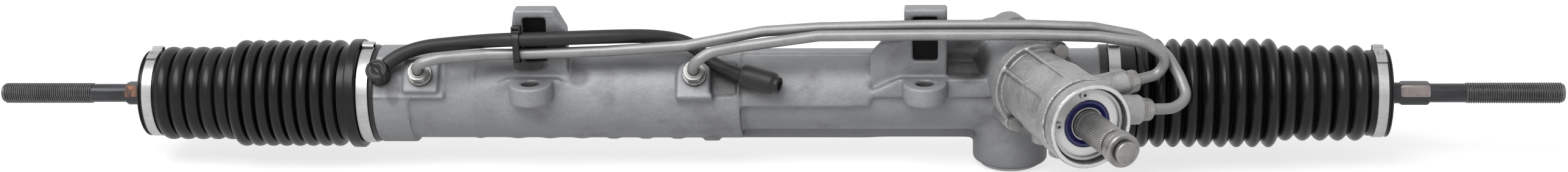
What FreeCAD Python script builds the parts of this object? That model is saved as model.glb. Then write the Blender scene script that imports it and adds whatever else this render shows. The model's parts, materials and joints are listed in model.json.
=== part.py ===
"""Hydraulic rack and pinion steering gear with boots, tie rods and pressure lines.

Frame: the origin is the middle of the two mounting bolts on the lugs' lower face.
+X runs along the rack towards the pinion, +Y away from the input shaft, +Z up along
the bolts. Lengths are millimetres. The rack stands where the photograph shows it.
"""
import FreeCAD, Part
import math
import os
import re
import Sketcher

V = FreeCAD.Vector
TOWER_BOLT_ANGLES = (35.0, 215.0)
TOWER_RIB_ANGLES = (-62.0, -20.0, 140.0)

# Driving sizes: name, number, what it is
SIZES = (
    ("bolt_spacing", 262.0, "between the two mounting bolts"),
    ("bolt_hole_radius", 6.0, "mounting bolt hole"),
    ("rack_back", 34.0, "rack axis behind the bolt line"),
    ("rack_height", -6.0, "rack axis against the mounting face, below it where negative"),
    # housing along the rack
    ("left_end", 239.0, "left flange face from the origin"),
    ("right_end", 246.0, "right flange face from the origin"),
    ("neck_length", 25.0, "boot neck beyond each flange face"),
    ("neck_radius", 31.0, "boot neck"),
    ("flange_radius", 33.0, "left end flange"),
    ("flange_length", 24.0, "left end flange along the rack"),
    ("cylinder_radius", 30.2, "outside of the cylinder tube"),
    ("cylinder_end", 8.0, "step at the right end of the cylinder tube"),
    ("tube_radius", 24.5, "slim tube between cylinder and pinion"),
    ("fin_reach", 31.0, "fins above and below the rack axis"),
    ("fin_thickness", 8.0, "fins on the slim tube"),
    ("saddle_radius", 28.5, "thick upper half of the slim tube beside the cylinder"),
    ("saddle_end", 95.0, "right end of that half"),
    ("collar_radius", 30.0, "tube between pinion and right neck"),
    ("seat_flat", 31.0, "flat under the left port from the rack axis"),
    ("seat_flat_end", 190.0, "right end of that flat, left of the origin"),
    ("seat_flat_half", 15.0, "half of that flat across the tube"),
    ("port_seat_half", 12.0, "half of the left port's square seat"),
    ("pip_radius", 3.5, "casting pips under the cylinder"),
    ("pip_height", 0.8, "casting pips above the cylinder"),
    ("pip_start", 146.0, "first pip left of the origin"),
    ("pip_pitch", 21.9, "from pip to pip"),
    ("drain_x", 13.3, "drain boss left of the origin"),
    ("drain_radius", 5.5, "drain boss"),
    ("web_thickness", 6.0, "webs beside the right lug"),
    ("rib_x", 172.0, "thin rib round the cylinder, left of the origin"),
    ("rib_width", 2.6, "that rib"),
    ("rib_height", 0.8, "that rib above the cylinder"),
    ("cylinder_bore", 22.0, "radius of the piston bore"),
    ("rack_bore", 15.5, "radius of the plain bore round the rack"),
    ("socket_bore", 21.5, "radius of the right counterbore"),
    ("running_gap", 0.05, "radial gap of turning and sliding fits"),
    ("seat_gap", 0.05, "gap between pieces pressed or screwed together"),
    # mounting lugs
    ("lug_top", 13.4, "bolt ledge above the mounting face"),
    ("lug_radius", 14.5, "round front of each lug"),
    ("shoulder_front", 6.5, "front face of the lugs' shoulders"),
    ("shoulder_crest", 16.5, "half width of a shoulder at the ledge"),
    ("shoulder_reach", 37.0, "half width of a shoulder where it dies into the tube"),
    ("shoulder_drop", 9.5, "slope of a shoulder"),
    ("right_shoulder_end", 42.0, "level shoulder from the right lug towards the pinion boss"),
    ("tab_front", 12.0, "front face of the windowed tabs"),
    ("tab_thickness", 12.0, "windowed tabs"),
    ("tab_top", 59.8, "top of the tabs above the mounting face"),
    ("tab_shoulder", 45.5, "where the left tab starts to narrow, above the mounting face"),
    ("right_tab_start", -13.5, "right tab from its bolt"),
    ("right_tab_end", 14.7, "right tab from its bolt"),
    ("right_window_start", -7.8, "right window from its bolt"),
    ("right_window_end", 8.4, "right window from its bolt"),
    ("left_tab_start", -10.8, "crown of the left tab from its bolt"),
    ("left_tab_end", 16.1, "crown of the left tab from its bolt"),
    ("left_foot_start", -13.0, "foot of the left tab from its bolt"),
    ("left_foot_end", 23.7, "foot of the left tab from its bolt"),
    ("left_window_start", -5.1, "left window from its bolt"),
    ("left_window_end", 10.4, "left window from its bolt"),
    ("window_bottom", 24.6, "window foot above the mounting face"),
    ("window_top", 54.4, "window top above the mounting face"),
    ("pad_recess", 3.0, "rubber pad behind the front of its window"),
    # gear
    ("pinion_x", 187.8, "where the pinion crosses the rack"),
    ("teeth", 8.0, "pinion teeth"),
    ("module", 2.0, "normal module"),
    ("pressure_angle", 20.0, "normal pressure angle, degrees"),
    ("helix_angle", 23.0, "helix and shaft inclination, degrees"),
    ("profile_shift", 0.5, "in modules"),
    ("tooth_play", 0.06, "thinning of the pinion teeth"),
    ("rack_radius", 13.5, "rack bar"),
    ("rack_reference", 8.8, "reference line of the rack teeth above its axis"),
    ("rack_teeth", 29.0, "spaces cut in the rack"),
    ("rack_teeth_x", 206.6, "middle of the toothed stretch, near"),
    ("pinion_half_face", 17.0, "half of the pinion's toothed length"),
    # stations along the pinion axis, outwards from the crossing
    ("boss_foot", 34.0, "lower end of the pinion boss"),
    ("boss_radius", 25.0, "pinion boss"),
    ("boss_mouth", 33.0, "joint face between housing and tower"),
    ("foot_ear_angle", 40.0, "lump at the foot of the boss, from the top towards the right, degrees"),
    ("foot_ear_circle", 18.0, "middle of that lump from the pinion axis"),
    ("foot_ear_radius", 14.0, "that lump"),
    ("low_bearing_outer", 14.0, "radius of the lower bearing"),
    ("low_journal", 6.0, "radius of the pinion's lower journal"),
    ("low_bearing_start", 18.5, "lower bearing below the crossing"),
    ("low_bearing_width", 6.5, "lower bearing"),
    ("pinion_nut_width", 4.0, "nut under the lower bearing"),
    ("high_bearing_outer", 16.0, "radius of the upper pinion bearing"),
    ("high_journal", 10.0, "radius of the pinion's upper journal"),
    ("high_bearing_start", 21.0, "upper pinion bearing"),
    ("high_bearing_width", 10.0, "upper pinion bearing"),
    ("head_start", 38.5, "pinion head"),
    ("head_end", 46.0, "pinion head carries the valve sleeve"),
    ("head_radius", 16.0, "pinion head"),
    ("sleeve_radius", 18.6, "valve sleeve"),
    ("sleeve_end", 97.0, "valve sleeve"),
    ("valve_bore", 19.3, "radius of the bore round the sleeve"),
    ("spool_radius", 10.5, "input shaft inside the sleeve"),
    ("shaft_bearing_start", 99.0, "bearing of the input shaft"),
    ("shaft_bearing_width", 10.0, "bearing of the input shaft"),
    ("shaft_bearing_outer", 14.0, "radius of the input shaft bearing"),
    ("shaft_journal", 9.5, "radius of the input shaft in its bearing"),
    ("input_seal_width", 7.0, "lip seal"),
    ("input_seal_outer", 15.2, "radius of the lip seal"),
    ("tower_face", 122.5, "front face of the tower"),
    ("tower_rim", 27.8, "radius of the front ring"),
    ("tower_mouth", 24.6, "radius of the recess in the front ring"),
    ("tower_radius", 26.3, "tower body"),
    ("tower_waist", 24.8, "tower body behind the step"),
    ("band_start", 99.0, "rear end of the wide band behind the front ring"),
    ("band_groove", 2.8, "depth of the groove between band and front ring"),
    ("tower_rib", 2.4, "ribs along the tower body"),
    ("tower_flange", 29.0, "tower flange on the pinion boss"),
    ("tower_flange_width", 9.0, "tower flange"),
    ("mouth_depth", 6.0, "recess in the front ring"),
    ("shaft_end", 171.5, "tip of the input shaft"),
    ("spline_radius", 9.7, "splines"),
    ("shaft_collar", 10.8, "collar near the tip"),
    ("pilot_radius", 7.2, "pilot at the tip"),
    ("torsion_radius", 3.0, "torsion bar"),
    ("torsion_end", 3.8, "radius of the torsion bar's anchored end"),
    ("nose_radius", 7.6, "input shaft nose inside the pinion head"),
    ("port_reach", 58.0, "mouth of each tower port from the pinion axis"),
    ("port_radius", 9.6, "tower port bosses"),
    ("rear_port", 71.0, "rear port along the pinion axis"),
    ("rear_port_tilt", 6.0, "degrees above level"),
    ("front_port", 91.5, "front port along the pinion axis"),
    ("front_port_tilt", -7.0, "degrees above level"),
    ("feed_port_radius", 7.0, "supply and return ports under the tower"),
    ("feed_port_mouth", 32.0, "mouth of the supply and return ports from the pinion axis"),
    ("feed_port_depth", 11.2, "depth of their threads"),
    ("feed_passage", 3.0, "radius of the passage from those ports to the valve"),
    ("supply_port", 58.0, "supply port along the pinion axis"),
    ("return_port", 84.0, "return port along the pinion axis"),
    ("tower_bolt_circle", 27.5, "tower bolts from the pinion axis"),
    ("tower_bolt_radius", 3.0, "tower bolt shank"),
    ("tower_bolt_depth", 12.0, "tower bolts into the housing"),
    # yoke
    ("yoke_boss_radius", 25.0, "yoke boss"),
    ("yoke_boss_foot", 45.5, "lower end of the yoke boss below the rack axis"),
    ("yoke_radius", 16.0, "support yoke"),
    ("yoke_length", 17.0, "support yoke below the rack"),
    ("plug_width", 10.0, "adjusting plug"),
    ("liner_thickness", 0.8, "yoke liner"),
    # rack bar, stations from the origin
    ("rack_left", 298.0, "left rack end"),
    ("rack_right", 344.0, "right rack end"),
    ("piston_x", 93.0, "piston left of the origin"),
    ("piston_width", 14.0, "piston"),
    ("bushing_length", 19.0, "outer bushing"),
    ("bulkhead_length", 22.0, "bulkhead"),
    # ball joints and tie rods
    ("ball_offset", 25.0, "ball centre beyond the rack end"),
    ("ball_radius", 11.0, "tie rod ball"),
    ("seat_radius", 13.0, "outside of the ball seat"),
    ("socket_radius", 17.0, "ball socket"),
    ("socket_reach", 10.0, "ball socket beyond the ball centre"),
    ("stud_radius", 8.0, "socket stud in the rack end"),
    ("stud_length", 15.0, "socket stud in the rack end"),
    ("rod_length", 183.0, "ball centre to rod tip"),
    ("rod_neck", 5.5, "radius next to the ball"),
    ("shank_radius", 7.0, "shank of the rod"),
    ("hex_flats", 14.0, "hexagon across flats"),
    ("hex_near", 76.0, "hexagon from the ball centre"),
    ("hex_far", 95.0, "hexagon from the ball centre"),
    ("plain_radius", 6.3, "plain stretch between hexagon and thread"),
    ("thread_radius", 7.0, "M14 thread"),
    ("thread_length", 64.0, "M14 thread"),
    # boots, stations from the origin outwards
    ("boot_crest", 36.3, "large folds"),
    ("boot_root", 31.6, "between large folds"),
    ("small_crest", 31.8, "small folds"),
    ("small_root", 28.0, "between small folds"),
    ("boot_bore", 26.0, "inside of the folds"),
    ("cuff_wall", 1.6, "rubber under the clamps"),
    ("small_cuff_radius", 28.4, "boot cuff under the outer clamp"),
    ("left_cuff", 242.2, "inner end of the left boot"),
    ("right_cuff", 251.6, "inner end of the right boot"),
    ("left_folds", 264.5, "left boot's first large fold"),
    ("right_folds", 269.5, "right boot's first large fold"),
    ("left_shoulder", 337.5, "where the left boot's large folds end"),
    ("right_shoulder", 364.0, "where the right boot's large folds end"),
    ("left_small_end", 385.0, "where the left boot's small folds end"),
    ("right_small_end", 421.5, "where the right boot's small folds end"),
    ("left_boot_tip", 402.0, "outer end of the left boot"),
    ("right_boot_tip", 436.5, "outer end of the right boot"),
    ("collar_start", 251.0, "thick collar of the left boot"),
    ("collar_end", 259.0, "thick collar of the left boot"),
    ("clamp_thickness", 0.9, "boot clamps"),
    ("inner_clamp_width", 8.0, "boot clamp on the neck"),
    ("outer_clamp_width", 7.0, "boot clamp on the small cuff"),
    ("strap_thickness", 1.6, "strap or ring on the neck"),
    ("ring_width", 8.0, "support ring in the small boot end"),
    # lines and hose
    ("line_radius", 3.6, "pressure line"),
    ("union_radius", 8.0, "union nut"),
    ("union_tilt", 50.0, "cylinder ports lean to the front, degrees"),
    ("port_seat", 35.0, "face of a cylinder port from the rack axis"),
    ("port_boss_radius", 12.5, "arched boss of the middle cylinder port"),
    ("port_boss_leg", 16.5, "straight legs of that boss below its port"),
    ("recess_start", -11.0, "left end of the recess beside that boss, from the origin"),
    ("recess_end", 6.0, "right end of that recess, from the origin"),
    ("recess_depth", 4.0, "that recess into the cylinder"),
    ("left_port", 206.3, "left cylinder port from the origin"),
    ("middle_port", 21.6, "middle cylinder port from the origin"),
    ("hose_radius", 4.7, "breather hose"),
    ("breather_seat", 33.0, "breather fitting from the rack axis"),
    ("breather_x", 234.0, "breather fitting from the origin"),
)

document = FreeCAD.newDocument("steering_rack")
sheet = document.addObject("Spreadsheet::Sheet", "Sizes")
for row, (alias, number, meaning) in enumerate(SIZES, start=1):
    sheet.set("A%d" % row, meaning)
    sheet.set("B%d" % row, str(number))
    sheet.setAlias("B%d" % row, alias)
document.recompute()
ALIASES = {alias for alias, number, meaning in SIZES}
parts = {}


def bound(words):
    """The expression with each size name pointing at its cell."""
    return re.sub(r"[a-z_]+", lambda m: "Sizes." + m.group(0) if m.group(0) in ALIASES else m.group(0), words)


def value(words):
    """The number that an expression gives now."""
    result = sheet.evalExpression(bound(words))
    return float(getattr(result, "Value", result))


HELIX = math.radians(value("helix_angle"))
PITCH_RADIUS = value("teeth * module / 2") / math.cos(HELIX)
PINION_DIRECTION = V(math.sin(HELIX), -math.cos(HELIX), 0)
PINION_SIDE = V(math.cos(HELIX), math.sin(HELIX), 0)
PINION_HEIGHT = value("rack_height + rack_reference + profile_shift * module") + PITCH_RADIUS
PINION_CENTRE = V(value("pinion_x"), value("rack_back"), PINION_HEIGHT)
RACK_LINE = V(0, value("rack_back"), value("rack_height"))
UNION_TILT = math.radians(value("union_tilt"))
UNION_DIRECTION = V(0, -math.sin(UNION_TILT), math.cos(UNION_TILT))
YOKE_CENTRE = V(value("pinion_x"), value("rack_back"), value("rack_height"))
DOWN = V(0, 0, -1)
X_AXIS = V(1, 0, 0)


def seat(item, base, direction=X_AXIS):
    """Put an object's own X axis along a direction from a base point."""
    item.Placement = FreeCAD.Placement(base, FreeCAD.Rotation(X_AXIS, direction))
    return item


def keep(label, item):
    """Name a finished sub-part and remember it for export."""
    item.Label = label
    parts[label] = item
    return item


def polygon(body, role, outlines, name):
    """Sketch on an origin plane of the body; every corner is tied to the sheet."""
    sketch = body.newObject("Sketcher::SketchObject", name)
    plane = [f for f in body.Origin.OriginFeatures if f.Role == role][0]
    sketch.AttachmentSupport = [(plane, "")]
    sketch.MapMode = "FlatFace"
    for outline in outlines:
        first = sketch.GeometryCount
        corners = [V(value(across), value(up), 0) for across, up in outline]
        count = len(corners)
        for i in range(count):
            sketch.addGeometry(Part.LineSegment(corners[i], corners[(i + 1) % count]), False)
        for i in range(count):
            after = first + (i + 1) % count
            sketch.addConstraint(Sketcher.Constraint("Coincident", first + i, 2, after, 1))
        for i, (across, up) in enumerate(outline):
            for kind, words in (("DistanceX", across), ("DistanceY", up)):
                size = Sketcher.Constraint(kind, -1, 1, first + i, 1, value(words))
                index = sketch.addConstraint(size)
                sketch.setExpression("Constraints[%d]" % index, bound(words))
    return sketch


def turned(label, outline, base=RACK_LINE, direction=X_AXIS):
    """Body revolved about its own X axis; the outline is (along, radius) pairs."""
    body = document.addObject("PartDesign::Body", label)
    sketch = polygon(body, "XY_Plane", [outline], label + "_outline")
    revolution = body.newObject("PartDesign::Revolution", label + "_turned")
    revolution.Profile = sketch
    revolution.ReferenceAxis = (sketch, ["H_Axis"])
    revolution.Angle = 360
    sketch.Visibility = False
    return seat(body, base, direction)


def sleeve(label, start, end, inner, outer, base=RACK_LINE, direction=X_AXIS):
    """Plain ring or sleeve between two stations."""
    outline = [(start, inner), (end, inner), (end, outer), (start, outer)]
    return turned(label, outline, base, direction)


def rod(label, steps, base=RACK_LINE, direction=X_AXIS):
    """Stepped solid shaft; steps are (start, end, radius) in order."""
    outline = [(steps[0][0], "0")]
    for start, end, radius in steps:
        outline += [(start, radius), (end, radius)]
    outline.append((steps[-1][1], "0"))
    return turned(label, outline, base, direction)


def plate(label, outlines, thickness, base):
    """Upright plate: outline in X and Z, thickness along +Y."""
    body = document.addObject("PartDesign::Body", label)
    sketch = polygon(body, "XZ_Plane", outlines, label + "_outline")
    pad = body.newObject("PartDesign::Pad", label + "_pad")
    pad.Profile = sketch
    pad.setExpression("Length", bound(thickness))
    pad.Reversed = True
    sketch.Visibility = False
    body.Placement = FreeCAD.Placement(base, FreeCAD.Rotation())
    return body


def block(label, outline, height, base, turn=FreeCAD.Rotation()):
    """Flat block: outline in X and Y, height along +Z, then turned about its base."""
    body = document.addObject("PartDesign::Body", label)
    sketch = polygon(body, "XY_Plane", [outline], label + "_outline")
    pad = body.newObject("PartDesign::Pad", label + "_pad")
    pad.Profile = sketch
    pad.setExpression("Length", bound(height))
    sketch.Visibility = False
    body.Placement = FreeCAD.Placement(base, turn)
    return body


def fused(label, items):
    """Several solids joined into one."""
    item = document.addObject("Part::MultiFuse", label)
    item.Shapes = items
    item.Refine = True
    return item


def cut(label, base, tool):
    """One solid with another taken out of it."""
    item = document.addObject("Part::Cut", label)
    item.Base = base
    item.Tool = tool
    item.Refine = True
    return item


def fixed_shape(label, shape):
    """Sub-part whose shape is worked out below from the sheet's numbers."""
    item = document.addObject("Part::Feature", label)
    item.Shape = shape
    return item


def ball(label, radius, centre):
    """Sphere tied to the sheet."""
    item = document.addObject("Part::Sphere", label)
    item.setExpression("Radius", bound(radius))
    item.Placement = FreeCAD.Placement(centre, FreeCAD.Rotation(V(0, 0, 1), X_AXIS))
    return item


def from_rack(*points):
    """Points given from the rack axis above the origin."""
    return [RACK_LINE + V(*point) for point in points]


def bent_tube(label, corners, radius, bend):
    """Round bar along straight runs joined by tangent arcs; prints its length."""
    edges = []
    start = corners[0]
    for before, corner, after in zip(corners, corners[1:], corners[2:]):
        inward = (corner - before).normalize()
        outward = (after - corner).normalize()
        half = inward.getAngle(outward) / 2
        shorter = min((corner - before).Length, (after - corner).Length)
        reach = min(bend * math.tan(half), 0.45 * shorter)
        first = corner - inward * reach
        last = corner + outward * reach
        away = (outward - inward).normalize()
        arc_radius = reach / math.tan(half)
        middle = corner + away * (arc_radius / math.cos(half) - arc_radius)
        edges.append(Part.LineSegment(start, first).toShape())
        edges.append(Part.Arc(first, middle, last).toShape())
        start = last
    edges.append(Part.LineSegment(start, corners[-1]).toShape())
    path = Part.Wire(edges)
    circle = Part.Circle(corners[0], corners[1] - corners[0], radius).toShape()
    tube = path.makePipeShell([Part.Wire([circle])], True, False)
    expected = math.pi * radius ** 2 * path.Length
    share = tube.Volume / expected
    print("%s: length %.1f, volume over section times length %.4f" % (label, path.Length, share))
    return fixed_shape(label, tube)


# Housing casting
def housing_tubes():
    """Stretches of the casting round the rack."""
    pieces = [
        sleeve("left_neck", "-left_end - neck_length", "-left_end", "cylinder_bore", "neck_radius"),
        sleeve("end_flange", "-left_end", "-left_end + flange_length", "cylinder_bore", "flange_radius"),
        rod("cylinder_tube", [("-left_end + 1", "cylinder_end", "cylinder_radius")]),
        rod("cylinder_rib", [("-rib_x - rib_width / 2", "-rib_x + rib_width / 2",
                              "cylinder_radius + rib_height")]),
        rod("slim_tube", [("cylinder_end - 5", "pinion_x", "tube_radius")]),
        rod("right_tube", [("pinion_x + 8", "right_end", "collar_radius")]),
        rod("right_neck", [("right_end - 1", "right_end + neck_length", "neck_radius")]),
    ]
    fin = [("cylinder_end - 5", "-fin_reach"), ("pinion_x - 10", "-fin_reach"),
           ("pinion_x - 10", "fin_reach"), ("cylinder_end - 5", "fin_reach")]
    middle = RACK_LINE - V(0, value("fin_thickness / 2"), 0)
    pieces.append(plate("tube_fins", [fin], "fin_thickness", middle))
    return pieces


def lug(name, side, tab, window, shoulder):
    """Mounting lug: round nose, level ledge, shoulders on the tube and a windowed tab."""
    x = side * value("bolt_spacing / 2")
    ledge = [("-lug_radius", "0"), ("lug_radius", "0"), ("lug_radius", "tab_front + 2"),
             ("-lug_radius", "tab_front + 2")]
    start, end = window
    opening = [(start, "window_bottom"), (end, "window_bottom"), (end, "window_top"), (start, "window_top")]
    nose = document.addObject("Part::Cylinder", name + "_nose")
    nose.setExpression("Radius", bound("lug_radius"))
    nose.setExpression("Height", bound("lug_top"))
    nose.Placement = FreeCAD.Placement(V(x, 0, 0), FreeCAD.Rotation())
    return [nose,
            block(name + "_ledge", ledge, "lug_top", V(x, 0, 0)),
            plate(name + "_shoulder", [shoulder], "rack_back - shoulder_front",
                  V(x, value("shoulder_front"), 0)),
            plate(name + "_tab", [tab, opening], "tab_thickness", V(x, value("tab_front"), 0))]


def lugs():
    """Both lugs; the left tab has a crown narrower than its foot."""
    left = [("left_foot_start", "0"), ("left_foot_end", "0"), ("left_foot_end", "tab_shoulder"),
            ("left_tab_end", "tab_top"), ("left_tab_start", "tab_top"), ("left_foot_start", "tab_shoulder")]
    right = [("right_tab_start", "0"), ("right_tab_end", "0"), ("right_tab_end", "tab_top"),
             ("right_tab_start", "tab_top")]
    near = [("-shoulder_reach", "0"), ("-shoulder_reach", "lug_top - shoulder_drop"),
            ("-shoulder_crest", "lug_top")]
    slope = near + [("shoulder_crest", "lug_top"), ("shoulder_reach", "lug_top - shoulder_drop"),
                    ("shoulder_reach", "0")]
    level = near + [("right_shoulder_end", "lug_top"), ("right_shoulder_end", "0")]
    return (lug("left_lug", -1, left, ("left_window_start", "left_window_end"), slope)
            + lug("right_lug", 1, right, ("right_window_start", "right_window_end"), level))


def tab_pads():
    """Rubber pad in the window of each tab."""
    for word, side in (("left", -1), ("right", 1)):
        start = word + "_window_start + seat_gap"
        end = word + "_window_end - seat_gap"
        outline = [(start, "window_bottom + seat_gap"), (end, "window_bottom + seat_gap"),
                   (end, "window_top - seat_gap"), (start, "window_top - seat_gap")]
        base = V(side * value("bolt_spacing / 2"), value("tab_front + pad_recess"), 0)
        keep("tab_pad_" + word, plate(word + "_pad", [outline], "tab_thickness - pad_recess - 1", base))


def saddle():
    """Thick upper half of the slim tube beside the cylinder."""
    item = document.addObject("Part::Cylinder", "saddle")
    item.setExpression("Radius", bound("saddle_radius"))
    item.setExpression("Height", bound("saddle_end - cylinder_end + 3"))
    item.Angle = 180
    start = RACK_LINE + V(value("cylinder_end - 3"), 0, 0)
    item.Placement = FreeCAD.Placement(start, FreeCAD.Rotation(V(1, 1, 1), 120))
    return item


def seat_pads():
    """Flat and square seat that carry the left port, level across the port's direction."""
    turn = FreeCAD.Rotation(X_AXIS, value("union_tilt"))
    flat = [("-left_end", "-seat_flat_half"), ("-seat_flat_end", "-seat_flat_half"),
            ("-seat_flat_end", "seat_flat_half"), ("-left_end", "seat_flat_half")]
    start = "-left_port - port_seat_half"
    end = "-left_port + port_seat_half"
    square = [(start, "-port_seat_half"), (end, "-port_seat_half"), (end, "port_seat_half"),
              (start, "port_seat_half")]
    base = RACK_LINE + UNION_DIRECTION * value("cylinder_bore + 2")
    return [block("seat_flat_pad", flat, "seat_flat - cylinder_bore - 2", base, turn),
            block("port_square_pad", square, "port_seat - cylinder_bore - 2", base, turn)]


def casting_marks():
    """Row of pips and the drain boss along the lower front of the cylinder."""
    low_front = V(0, -0.342, -0.94).normalize()
    pieces = []
    for number in range(6):
        base = RACK_LINE + V(value("-pip_start + pip_pitch * %d" % number), 0, 0)
        steps = [("cylinder_radius - 4", "cylinder_radius + pip_height", "pip_radius")]
        pieces.append(rod("pip_%d" % number, steps, base, low_front))
    base = RACK_LINE + V(value("-drain_x"), 0, 0)
    pieces.append(rod("drain_boss", [("cylinder_radius - 6", "cylinder_radius + 2", "drain_radius")],
                      base, low_front))
    return pieces


def webs():
    """Webs from the right tab down to the tube and back to the pinion boss."""
    start = "(bolt_spacing / 2 + right_tab_start)"
    end = "(bolt_spacing / 2 + right_tab_end)"
    near = [(start + " - 23", "0"), (start + " + 1", "0"),
            (start + " + 1", "tab_shoulder - 7"), (start + " - 15", "tab_shoulder - 8"),
            (start + " - 23", "tab_shoulder - 17")]
    far = [(end + " - 2", "0"), ("pinion_x - 8", "0"),
           ("pinion_x - 8", "tab_shoulder - 11"), (end + " - 2", "tab_shoulder - 9")]
    return [plate("near_web", [near], "web_thickness", V(0, value("tab_front"), 0)),
            plate("far_web", [far], "web_thickness", V(0, value("rack_back - web_thickness / 2"), 0))]


def middle_boss():
    """Arched boss of the middle port: round above, straight legs below."""
    base = RACK_LINE + V(-value("middle_port"), 0, 0)
    leg = [("-port_boss_radius", "-port_boss_leg"), ("port_boss_radius", "-port_boss_leg"),
           ("port_boss_radius", "0"), ("-port_boss_radius", "0")]
    foot = base + UNION_DIRECTION * value("cylinder_bore + 2")
    return [rod("middle_boss_crown", [("cylinder_bore + 2", "port_seat", "port_boss_radius")],
                base, UNION_DIRECTION),
            block("middle_boss_legs", leg, "port_seat - cylinder_bore - 2", foot,
                  FreeCAD.Rotation(X_AXIS, value("union_tilt")))]


def side_recess():
    """Flat-floored recess beside the middle port, level across the port's direction."""
    half = "port_boss_radius"
    outline = [("recess_start", "-" + half), ("recess_end", "-" + half), ("recess_end", half),
               ("recess_start", half)]
    base = RACK_LINE + UNION_DIRECTION * value("cylinder_radius - recess_depth")
    return block("side_recess", outline, "recess_depth * 3", base,
                 FreeCAD.Rotation(X_AXIS, value("union_tilt")))


def housing_bores():
    """Everything cut out of the casting."""
    x = value("bolt_spacing / 2")
    hollow = [
        rod("cylinder_cut", [("-left_end - neck_length - 1", "cylinder_end", "cylinder_bore")]),
        rod("rack_cut", [("cylinder_end - 1", "right_end + 1", "rack_bore")]),
        rod("socket_cut", [("right_end", "right_end + neck_length + 1", "socket_bore")]),
        rod("pinion_cut", [("-boss_foot - 1", "-low_bearing_start", "low_bearing_outer + seat_gap"),
                           ("-low_bearing_start", "high_bearing_start", "high_bearing_outer - 2"),
                           ("high_bearing_start", "boss_mouth + 1", "high_bearing_outer + seat_gap")],
            PINION_CENTRE, PINION_DIRECTION),
        rod("yoke_cut", [("0", "yoke_boss_foot + 1", "yoke_radius + running_gap")], YOKE_CENTRE, DOWN),
    ]
    hollow.append(rod("tower_seat_cut", [("boss_mouth", "tower_face", "tower_flange + 0.5")],
                      PINION_CENTRE, PINION_DIRECTION))
    for number, angle in enumerate(TOWER_BOLT_ANGLES):
        steps = [("-tower_bolt_depth - 1", "1", "tower_bolt_radius + seat_gap")]
        hollow.append(rod("bolt_cut_%d" % number, steps, bolt_place(angle), PINION_DIRECTION))
    for name, station in (("left_port_cut", "-left_port"), ("middle_port_cut", "-middle_port")):
        base = RACK_LINE + V(value(station), 0, 0)
        steps = [("cylinder_bore - 2", "port_seat - 8", "line_radius - 1"),
                 ("port_seat - 8", "port_seat + 1", "union_radius - 2 + seat_gap")]
        hollow.append(rod(name, steps, base, UNION_DIRECTION))
    base = RACK_LINE + V(value("-breather_x"), 0, 0)
    steps = [("cylinder_bore + 3", "breather_seat + 1", "hose_radius - 1.2 + seat_gap")]
    hollow.append(rod("breather_cut", steps, base, UNION_DIRECTION))
    for name, side in (("left_bolt_cut", -1), ("right_bolt_cut", 1)):
        hole = document.addObject("Part::Cylinder", name)
        hole.setExpression("Radius", bound("bolt_hole_radius"))
        hole.setExpression("Height", bound("lug_top + 2"))
        hole.Placement = FreeCAD.Placement(V(side * x, 0, -1), FreeCAD.Rotation())
        hollow.append(hole)
    hollow.append(side_recess())
    return fused("housing_hollow", hollow)


def housing():
    """The whole aluminium casting."""
    forms = housing_tubes()
    forms += lugs()
    forms += seat_pads() + casting_marks() + webs() + middle_boss()
    forms.append(saddle())
    forms.append(rod("pinion_boss", [("-boss_foot", "boss_mouth", "boss_radius")],
                     PINION_CENTRE, PINION_DIRECTION))
    turn = math.radians(value("foot_ear_angle"))
    reach = value("foot_ear_circle")
    ear = PINION_CENTRE + V(0, 0, reach * math.cos(turn)) + PINION_SIDE * (reach * math.sin(turn))
    steps = [("-boss_foot", "-boss_foot + 14", "foot_ear_radius")]
    forms.append(rod("foot_ear", steps, ear, PINION_DIRECTION))
    forms.append(rod("yoke_boss", [("-8", "yoke_boss_foot", "yoke_boss_radius")], YOKE_CENTRE, DOWN))
    for number, angle in enumerate(TOWER_BOLT_ANGLES):
        forms.append(rod("boss_ear_%d" % number, [("-tower_bolt_depth - 3", "0", "tower_bolt_radius * 2")],
                         bolt_place(angle), PINION_DIRECTION))
    casting = fused("housing_forms", forms)
    keep("housing", cut("housing_casting", casting, housing_bores()))


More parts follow.
